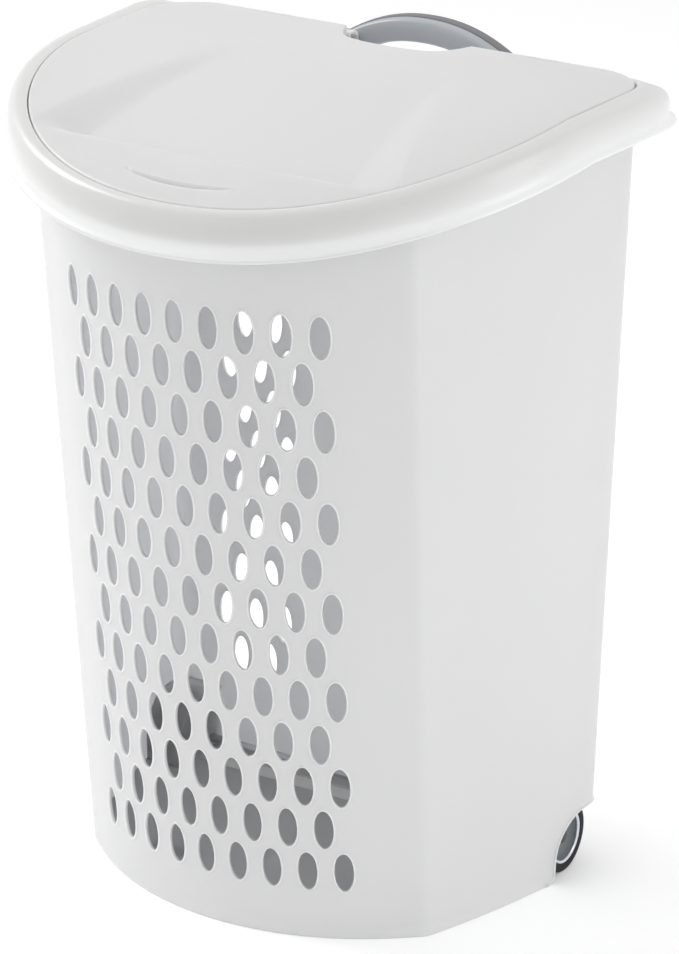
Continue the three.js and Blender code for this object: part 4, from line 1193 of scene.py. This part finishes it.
# %% Screws, hinge pins and axle
SCREW_X = (80.0, 96.0)
SCREW_RADIUS, SCREW_HEAD_RADIUS, SCREW_HEAD_HEIGHT = 1.6, 3.4, 2.4
SCREW_Z = (PAD_LOW + PAD_HIGH) / 2
SCREW_SEAT_Y = GRIP_BACK_Y - 7
SCREW_TIP_Y = FRAME_WALL["back"] - WALL - 2
AXLE_RADIUS = 4.0


def post_y(name, x, z, y0, y1, radius, sides=32, bevel=0.3):
    """A bevelled cylinder along Y."""
    bpy.ops.object.select_all(action="DESELECT")
    bpy.ops.mesh.primitive_cylinder_add(
        vertices=sides, radius=radius * MM, depth=(y1 - y0) * MM,
        location=to_frame((x, (y0 + y1) / 2, z)), rotation=(math.pi / 2, 0, 0),
    )
    piece = bpy.context.object
    piece.name = name
    settle(piece)
    if bevel:
        apply(piece, "BEVEL", width=bevel * MM, segments=3, limit_method="ANGLE")
    return piece


screw_places = [-SCREW_X[1], -SCREW_X[0], SCREW_X[0], SCREW_X[1]]
screws = []
for i, x in enumerate(screw_places):
    head_bore = SCREW_HEAD_RADIUS + 0.4
    cut(grip_rear, post_y("cutter", x, SCREW_Z, SCREW_SEAT_Y, GRIP_BACK_Y + 3, head_bore, bevel=0))
    head_y = SCREW_SEAT_Y + PART_GAP
    head = post_y("screw_head", x, SCREW_Z, head_y, head_y + SCREW_HEAD_HEIGHT, SCREW_HEAD_RADIUS, bevel=0.5)
    for turn in (0, 1):
        wide, tall = (2.2, 0.5) if turn else (0.5, 2.2)
        groove_y = head_y + SCREW_HEAD_HEIGHT - 1.3
        low, high = (x - wide, groove_y, SCREW_Z - tall), (x + wide, GRIP_BACK_Y, SCREW_Z + tall)
        cut(head, block("cutter", low, high, bevel=0))
    shank = post_y("screw_shank", x, SCREW_Z, SCREW_TIP_Y + 0.6, SCREW_SEAT_Y + 0.5, SCREW_RADIUS)
    screws.append(join(f"grip_screw_{i + 1}", [head, shank]))

pin_reach = KNUCKLE_LENGTH * 1.5 + KNUCKLE_GAP + 1
pins = [
    rod_x("pin_" + word, x - pin_reach, x + pin_reach, HINGE_Y, HINGE_Z, PIN_RADIUS, 24, 0.5)
    for x, word in ((-HINGE_X, "left"), (HINGE_X, "right"))
]
axle_low, axle_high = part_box("axle")
axle = rod_x("axle_rod", axle_low[0] / MM, axle_high[0] / MM, WHEEL_Y, WHEEL_RADIUS, AXLE_RADIUS, 40, 0.6)
print("screws", len(screws), "pins", len(pins), "axle", round((axle_high[0] - axle_low[0]) / MM, 1), "mm")

# %% [markdown]
# A wheel is turned work: draw half the section, spin it round the axle. The hub has a raised boss, a dished
# disc with a low ring and a flange; the tyre has a flat tread with rounded shoulders and two fine grooves;
# a bright trim ring sits between them.

# %% Wheels
WHEEL_FACE_X, TYRE_WIDTH, TYRE_DEPTH = 206.0, 25.0, 8.0
HUB_OUTER = WHEEL_RADIUS - TYRE_DEPTH
RIM_IN = TYRE_WIDTH - 3.5
SPIN_STEPS = 72


def turned(name, profile, side):
    """A closed profile of [radius, distance outwards from the wheel's inner face], spun round the axle."""
    start = side * (WHEEL_FACE_X - TYRE_WIDTH)
    points = [to_frame((start + side * x, WHEEL_Y, WHEEL_RADIUS + r)) for r, x in profile]
    count = len(points)
    mesh = bpy.data.meshes.new(name)
    mesh.from_pydata(points, [(i, (i + 1) % count) for i in range(count)], [])
    piece = bpy.data.objects.new(name, mesh)
    bpy.context.scene.collection.objects.link(piece)
    only(piece)
    bpy.ops.object.mode_set(mode="EDIT")
    bpy.ops.mesh.select_all(action="SELECT")
    centre = to_frame((0, WHEEL_Y, WHEEL_RADIUS))
    bpy.ops.mesh.spin(steps=SPIN_STEPS, angle=2 * math.pi, center=centre, axis=(1, 0, 0))
    bpy.ops.mesh.select_all(action="SELECT")
    bpy.ops.mesh.remove_doubles(threshold=MERGE)
    bpy.ops.mesh.normals_make_consistent(inside=False)
    bpy.ops.object.mode_set(mode="OBJECT")
    return piece


bore = AXLE_RADIUS + 0.2
groove = TYRE_WIDTH / 2
TYRE = rounded(
    [(HUB_OUTER + 0.3, 1.5), (WHEEL_RADIUS, 0.2), (WHEEL_RADIUS, groove - 4),
     (WHEEL_RADIUS - 0.9, groove - 3.4), (WHEEL_RADIUS, groove - 2.8),
     (WHEEL_RADIUS, groove + 2.8), (WHEEL_RADIUS - 0.9, groove + 3.4),
     (WHEEL_RADIUS, groove + 4), (WHEEL_RADIUS, TYRE_WIDTH), (HUB_OUTER + 0.3, TYRE_WIDTH - 1)],
    [0.6, 2.8, 0.25, 0.2, 0.25, 0.25, 0.2, 0.25, 2.6, 0.5], 3,
)
HUB = rounded(
    [(bore, 0), (9, 0), (9, 8), (HUB_OUTER - 3, 8), (HUB_OUTER - 3, 1.5), (HUB_OUTER, 1.5),
     (HUB_OUTER, RIM_IN), (HUB_OUTER - 3, RIM_IN), (HUB_OUTER - 4.4, RIM_IN - 3),
     (13.0, RIM_IN - 3.6), (12.0, RIM_IN - 2.9), (10.6, RIM_IN - 2.9),
     (9.6, RIM_IN - 3.6), (bore, RIM_IN - 3)],
    [0.3, 0.8, 1.0, 1.0, 0.6, 0.5, 0.5, 0.6, 1.2, 0.5, 0.4, 0.4, 0.5, 0.3], 3,
)
TRIM = rounded(
    [(HUB_OUTER - 2.6, RIM_IN + 0.3), (HUB_OUTER, RIM_IN + 0.3),
     (HUB_OUTER, TYRE_WIDTH - 0.3), (HUB_OUTER - 2.6, TYRE_WIDTH - 1.2)],
    [0.3, 0.3, 0.9, 0.7], 4,
)
cap_x = RIM_IN - 2.7
cap_bore = AXLE_RADIUS + 0.3
CAP = [(0.01, cap_x + 3), (cap_bore, cap_x + 3), (cap_bore, cap_x), (6.2, cap_x), (6.5, cap_x + 0.3),
       (6.5, cap_x + 2.2), (6.2, cap_x + 3.1), (5.4, cap_x + 4.0), (4.0, cap_x + 4.6),
       (2.2, cap_x + 4.9), (0.01, cap_x + 5)]
WASHER = rounded([(4.3, -1.5), (8, -1.5), (8, -0.3), (4.3, -0.3)], [0.2, 0.3, 0.3, 0.2], 2)

wheels = {}
for side, word in ((-1, "left"), (1, "right")):
    wheels[word] = dict(
        tyre=turned("tread_tyre_" + word, TYRE, side), hub=turned("hub_disc_" + word, HUB, side),
        trim=turned("bright_ring_" + word, TRIM, side), cap=turned("end_cap_" + word, CAP, side),
        washer=turned("flat_washer_" + word, WASHER, side),
    )
print("wheels", {word: len(parts) for word, parts in wheels.items()})

# %% [markdown]
# Finishes. Moulded polypropylene isn't one flat white: the tool's fine grain breaks up the gleam, the tone
# drifts slightly with wall thickness, raised edges are rubbed brighter and dust settles in corners. Each of
# these effects is a node group with named sockets, built once and placed in every material that needs it.

# %% Node group helpers
def new_group(name, inputs, outputs):
    """A shader node group with its named sockets; inputs are (name, kind, value)."""
    group = bpy.data.node_groups.new(name, "ShaderNodeTree")
    for label, kind, value in inputs:
        socket = group.interface.new_socket(name=label, in_out="INPUT", socket_type=kind)
        socket.default_value = value
    for label, kind in outputs:
        group.interface.new_socket(name=label, in_out="OUTPUT", socket_type=kind)
    return group, group.nodes.new("NodeGroupInput"), group.nodes.new("NodeGroupOutput")


def add_node(tree, kind, **settings):
    made = tree.nodes.new(kind)
    for key, value in settings.items():
        if key in made.inputs:
            made.inputs[key].default_value = value
        else:
            setattr(made, key, value)
    return made


FLOAT, COLOR, VECTOR = "NodeSocketFloat", "NodeSocketColor", "NodeSocketVector"

# %% [markdown]
# Grain: two noises, a fine one for the spark-eroded texture of the tool and a broad one for the slight
# waviness of a cooling wall, become the height of a Bump node.

# %% Grain
grain, given, out = new_group(
    "moulded_grain",
    [("Grain Size", FLOAT, 0.8), ("Grain Depth", FLOAT, 0.2), ("Wave Depth", FLOAT, 0.1)],
    [("Normal", VECTOR), ("Height", FLOAT)],
)
place = add_node(grain, "ShaderNodeTexCoord")
per_metre = add_node(grain, "ShaderNodeMath", operation="DIVIDE")
per_metre.inputs[0].default_value = 1000.0
grain.links.new(given.outputs["Grain Size"], per_metre.inputs[1])
fine = add_node(grain, "ShaderNodeTexNoise", Detail=3.0, Roughness=0.6)
grain.links.new(place.outputs["Object"], fine.inputs["Vector"])
grain.links.new(per_metre.outputs[0], fine.inputs["Scale"])
wave = add_node(grain, "ShaderNodeTexNoise", Scale=9.0, Detail=1.0, Roughness=0.4)
grain.links.new(place.outputs["Object"], wave.inputs["Vector"])
fine_bump = add_node(grain, "ShaderNodeBump", Distance=0.0002)
grain.links.new(fine.outputs["Fac"], fine_bump.inputs["Height"])
grain.links.new(given.outputs["Grain Depth"], fine_bump.inputs["Strength"])
wave_bump = add_node(grain, "ShaderNodeBump", Distance=0.004)
grain.links.new(wave.outputs["Fac"], wave_bump.inputs["Height"])
grain.links.new(given.outputs["Wave Depth"], wave_bump.inputs["Strength"])
grain.links.new(fine_bump.outputs["Normal"], wave_bump.inputs["Normal"])
grain.links.new(wave_bump.outputs["Normal"], out.inputs["Normal"])
grain.links.new(fine.outputs["Fac"], out.inputs["Height"])
print("group", grain.name, [s.name for s in grain.interface.items_tree])

# %% [markdown]
# Tone: a soft, broad noise mixes the base colour with a second one, so that large panels aren't dead flat.

# %% Tone
tone, given, out = new_group(
    "tone_drift",
    [("Color", COLOR, (0.8, 0.8, 0.8, 1)), ("Other Color", COLOR, (0.75, 0.75, 0.76, 1)),
     ("Scale", FLOAT, 5.0), ("Amount", FLOAT, 0.5)],
    [("Color", COLOR), ("Mask", FLOAT)],
)
place = add_node(tone, "ShaderNodeTexCoord")
cloud = add_node(tone, "ShaderNodeTexNoise", Detail=3.0, Roughness=0.55)
tone.links.new(place.outputs["Object"], cloud.inputs["Vector"])
tone.links.new(given.outputs["Scale"], cloud.inputs["Scale"])
spread = add_node(tone, "ShaderNodeMapRange")
spread.inputs["From Min"].default_value = 0.35
spread.inputs["From Max"].default_value = 0.7
tone.links.new(cloud.outputs["Fac"], spread.inputs["Value"])
share = add_node(tone, "ShaderNodeMath", operation="MULTIPLY")
tone.links.new(spread.outputs["Result"], share.inputs[0])
tone.links.new(given.outputs["Amount"], share.inputs[1])
blend = add_node(tone, "ShaderNodeMix", data_type="RGBA")
tone.links.new(share.outputs[0], blend.inputs[0])
tone.links.new(given.outputs["Color"], blend.inputs[6])
tone.links.new(given.outputs["Other Color"], blend.inputs[7])
tone.links.new(blend.outputs[2], out.inputs["Color"])
tone.links.new(spread.outputs["Result"], out.inputs["Mask"])
print("group", tone.name)

# %% [markdown]
# Wear: Geometry's Pointiness tells edges from hollows. Edges are mixed towards a rubbed colour, hollows
# towards a dusty one, and a speckled noise keeps both from looking drawn with a ruler.

# %% Edge wear and dust
wear, given, out = new_group(
    "edge_wear",
    [("Color", COLOR, (0.8, 0.8, 0.8, 1)), ("Rubbed", COLOR, (0.9, 0.9, 0.9, 1)),
     ("Dust", COLOR, (0.6, 0.58, 0.55, 1)), ("Wear", FLOAT, 0.5), ("Dirt", FLOAT, 0.3)],
    [("Color", COLOR), ("Edge", FLOAT), ("Hollow", FLOAT)],
)
shape = add_node(wear, "ShaderNodeNewGeometry")
place = add_node(wear, "ShaderNodeTexCoord")
speck = add_node(wear, "ShaderNodeTexNoise", Scale=140.0, Detail=4.0, Roughness=0.65)
wear.links.new(place.outputs["Object"], speck.inputs["Vector"])
edge = add_node(wear, "ShaderNodeMapRange")
edge.inputs["From Min"].default_value, edge.inputs["From Max"].default_value = 0.52, 0.62
wear.links.new(shape.outputs["Pointiness"], edge.inputs["Value"])
hollow = add_node(wear, "ShaderNodeMapRange")
hollow.inputs["From Min"].default_value, hollow.inputs["From Max"].default_value = 0.48, 0.38
wear.links.new(shape.outputs["Pointiness"], hollow.inputs["Value"])
masks = []
for mask, amount in ((edge, "Wear"), (hollow, "Dirt")):
    broken = add_node(wear, "ShaderNodeMath", operation="MULTIPLY")
    wear.links.new(mask.outputs["Result"], broken.inputs[0])
    wear.links.new(speck.outputs["Fac"], broken.inputs[1])
    scaled = add_node(wear, "ShaderNodeMath", operation="MULTIPLY", use_clamp=True)
    wear.links.new(broken.outputs[0], scaled.inputs[0])
    wear.links.new(given.outputs[amount], scaled.inputs[1])
    masks.append(scaled)
rub = add_node(wear, "ShaderNodeMix", data_type="RGBA")
wear.links.new(masks[0].outputs[0], rub.inputs[0])
wear.links.new(given.outputs["Color"], rub.inputs[6])
wear.links.new(given.outputs["Rubbed"], rub.inputs[7])
settle_dust = add_node(wear, "ShaderNodeMix", data_type="RGBA")
wear.links.new(masks[1].outputs[0], settle_dust.inputs[0])
wear.links.new(rub.outputs[2], settle_dust.inputs[6])
wear.links.new(given.outputs["Dust"], settle_dust.inputs[7])
wear.links.new(settle_dust.outputs[2], out.inputs["Color"])
wear.links.new(masks[0].outputs[0], out.inputs["Edge"])
wear.links.new(masks[1].outputs[0], out.inputs["Hollow"])
print("group", wear.name)

# %% [markdown]
# Gloss: hands and laundry leave the shine uneven. The roughness wanders round its value with a smudgy
# noise and with very fine, nearly straight scuffs.

# %% Gloss
gloss, given, out = new_group(
    "uneven_gloss",
    [("Roughness", FLOAT, 0.4), ("Smudge", FLOAT, 0.08), ("Scuff", FLOAT, 0.04)],
    [("Roughness", FLOAT)],
)
place = add_node(gloss, "ShaderNodeTexCoord")
smear = add_node(gloss, "ShaderNodeTexNoise", Scale=14.0, Detail=4.0, Roughness=0.6)
gloss.links.new(place.outputs["Object"], smear.inputs["Vector"])
stretch = add_node(gloss, "ShaderNodeMapping")
stretch.inputs["Rotation"].default_value = (0.4, 0.3, 0.7)
stretch.inputs["Scale"].default_value = (14.0, 420.0, 420.0)
gloss.links.new(place.outputs["Object"], stretch.inputs["Vector"])
scratch = add_node(gloss, "ShaderNodeTexNoise", Scale=1.0, Detail=2.0)
gloss.links.new(stretch.outputs["Vector"], scratch.inputs["Vector"])
total = given.outputs["Roughness"]
for texture, amount in ((smear, "Smudge"), (scratch, "Scuff")):
    centred = add_node(gloss, "ShaderNodeMath", operation="SUBTRACT")
    gloss.links.new(texture.outputs["Fac"], centred.inputs[0])
    centred.inputs[1].default_value = 0.5
    part = add_node(gloss, "ShaderNodeMath", operation="MULTIPLY_ADD")
    gloss.links.new(centred.outputs[0], part.inputs[0])
    gloss.links.new(given.outputs[amount], part.inputs[1])
    gloss.links.new(total, part.inputs[2])
    total = part.outputs[0]
gloss.links.new(total, out.inputs["Roughness"])
print("group", gloss.name)

# %% [markdown]
# A finish is the four groups in a row in front of a Principled BSDF. What is the same all over, such as the
# coat or the metal, is set straight on the shader's sockets.

# %% Finishes
def finish(name, color, other, rough, grain_size, grain_depth, wave_depth, rubbed, dust,
           wear_amount=0.5, dirt=0.3, tone_scale=5.0, tone_amount=0.5, smudge=0.1, scuff=0.05, **constants):
    material = bpy.data.materials.new(name)
    material.use_nodes = True
    tree = material.node_tree
    shader = tree.nodes["Principled BSDF"]

    def group_node(group, **values):
        made = tree.nodes.new("ShaderNodeGroup")
        made.node_tree = group
        for key, value in values.items():
            made.inputs[key.replace("_", " ")].default_value = value
        return made

    toned = group_node(tone, Color=(*color, 1), Other_Color=(*other, 1), Scale=tone_scale, Amount=tone_amount)
    worn = group_node(wear, Rubbed=(*rubbed, 1), Dust=(*dust, 1), Wear=wear_amount, Dirt=dirt)
    shine = group_node(gloss, Roughness=rough, Smudge=smudge, Scuff=scuff)
    relief = group_node(grain, Grain_Size=grain_size, Grain_Depth=grain_depth, Wave_Depth=wave_depth)
    tree.links.new(toned.outputs["Color"], worn.inputs["Color"])
    tree.links.new(worn.outputs["Color"], shader.inputs["Base Color"])
    tree.links.new(shine.outputs["Roughness"], shader.inputs["Roughness"])
    tree.links.new(relief.outputs["Normal"], shader.inputs["Normal"])
    for key, value in constants.items():
        shader.inputs[key.replace("_", " ")].default_value = value
    return material


POLYPROPYLENE = dict(
    IOR=1.49, Subsurface_Weight=0.6, Subsurface_Radius=(0.92, 0.94, 1.0), Subsurface_Scale=0.02,
)
RUBBED_WHITE = (0.9, 0.9, 0.9)

finishes = dict(
    tub_satin=finish("tub_satin", (0.79, 0.795, 0.81), (0.765, 0.77, 0.79), 0.42, 0.9, 0.16, 0.06,
                     rubbed=RUBBED_WHITE, dust=(0.60, 0.60, 0.62), tone_amount=0.4, **POLYPROPYLENE),
    frame_gloss=finish("frame_gloss", (0.815, 0.82, 0.82), (0.79, 0.80, 0.80), 0.3, 1.4, 0.04, 0.05,
                       rubbed=RUBBED_WHITE, dust=(0.62, 0.62, 0.63), tone_amount=0.3,
                       Coat_Weight=0.2, Coat_Roughness=0.2, **POLYPROPYLENE),
    lid_satin=finish("lid_satin", (0.80, 0.805, 0.815), (0.785, 0.79, 0.80), 0.36, 0.7, 0.10, 0.05,
                     rubbed=RUBBED_WHITE, dust=(0.60, 0.59, 0.58), tone_amount=0.4, **POLYPROPYLENE),
    grip_gloss=finish("grip_gloss", (0.40, 0.425, 0.45), (0.33, 0.355, 0.385), 0.30, 0.8, 0.06, 0.05,
                      rubbed=(0.44, 0.47, 0.50), dust=(0.18, 0.20, 0.22), wear_amount=0.7, tone_amount=0.5,
                      Coat_Weight=0.3, Coat_Roughness=0.2),
    grip_matt=finish("grip_matt", (0.205, 0.20, 0.215), (0.175, 0.17, 0.185), 0.58, 0.6, 0.30, 0.04,
                     rubbed=(0.30, 0.295, 0.305), dust=(0.13, 0.125, 0.135), wear_amount=0.7),
    hub_grey=finish("hub_grey", (0.155, 0.175, 0.185), (0.125, 0.142, 0.152), 0.45, 0.6, 0.25, 0.03,
                    rubbed=(0.28, 0.30, 0.31), dust=(0.08, 0.085, 0.09), wear_amount=0.8, dirt=0.8),
    cap_dark=finish("cap_dark", (0.045, 0.048, 0.053), (0.035, 0.037, 0.042), 0.4, 0.5, 0.2, 0.02,
                    rubbed=(0.12, 0.12, 0.125), dust=(0.03, 0.03, 0.03), wear_amount=0.8),
    tyre_rubber=finish("tyre_rubber", (0.010, 0.010, 0.012), (0.016, 0.016, 0.019), 0.62, 0.5, 0.5, 0.05,
                       rubbed=(0.05, 0.049, 0.055), dust=(0.03, 0.029, 0.03), wear_amount=0.5, dirt=0.5,
                       tone_scale=30.0, tone_amount=0.8, Specular_IOR_Level=0.25),
    trim_bright=finish("trim_bright", (0.72, 0.74, 0.78), (0.62, 0.64, 0.69), 0.22, 0.5, 0.05, 0.02,
                       rubbed=(0.9, 0.9, 0.92), dust=(0.35, 0.35, 0.38), Metallic=0.9),
    steel=finish("steel", (0.56, 0.57, 0.58), (0.48, 0.49, 0.50), 0.32, 0.4, 0.15, 0.02,
                 rubbed=(0.75, 0.75, 0.76), dust=(0.22, 0.20, 0.18), dirt=0.6, Metallic=1.0),
)
print("finishes", list(finishes))

# %% [markdown]
# Last, every piece gets its finish, rides on its body and hides the CAD solids that it stands for.

# %% Dress and tie the pieces
def dress(piece, finish_name, body, nodes=(), degrees=38):
    """Gives a piece its finish and shading, and ties it to its body and the CAD nodes it stands for."""
    piece.data.materials.clear()
    piece.data.materials.append(finishes[finish_name])
    shade(piece, degrees)
    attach(piece, body)
    if nodes:
        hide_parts(*nodes)
    print(piece.name, len(piece.data.polygons), "faces on", body)


dress(wall, "tub_satin", "root", ["tub"], 50)
dress(pocket, "tub_satin", "root")
dress(base, "tub_satin", "root")
dress(frame_shell, "frame_gloss", "root", ["rim_frame"])
dress(lid, "lid_satin", "lid", ["lid"])
dress(grip_front, "grip_gloss", "root", ["handle_front_shell"])
dress(grip_rear, "grip_matt", "root", ["handle_rear_shell"])
for i, screw in enumerate(screws):
    dress(screw, "steel", "root", [f"handle_screw_{i + 1}"], 30)
for pin, word in zip(pins, ("left", "right")):
    dress(pin, "steel", "root", ["hinge_pin_" + word])
dress(axle, "steel", "root", ["axle"])
for word, parts in wheels.items():
    dress(parts["tyre"], "tyre_rubber", "wheel_" + word, ["tyre_" + word])
    dress(parts["hub"], "hub_grey", "wheel_" + word, ["wheel_hub_" + word])
    dress(parts["trim"], "trim_bright", "wheel_" + word, ["trim_ring_" + word])
    dress(parts["cap"], "cap_dark", "root", ["axle_cap_" + word])
    dress(parts["washer"], "steel", "root", ["washer_" + word])
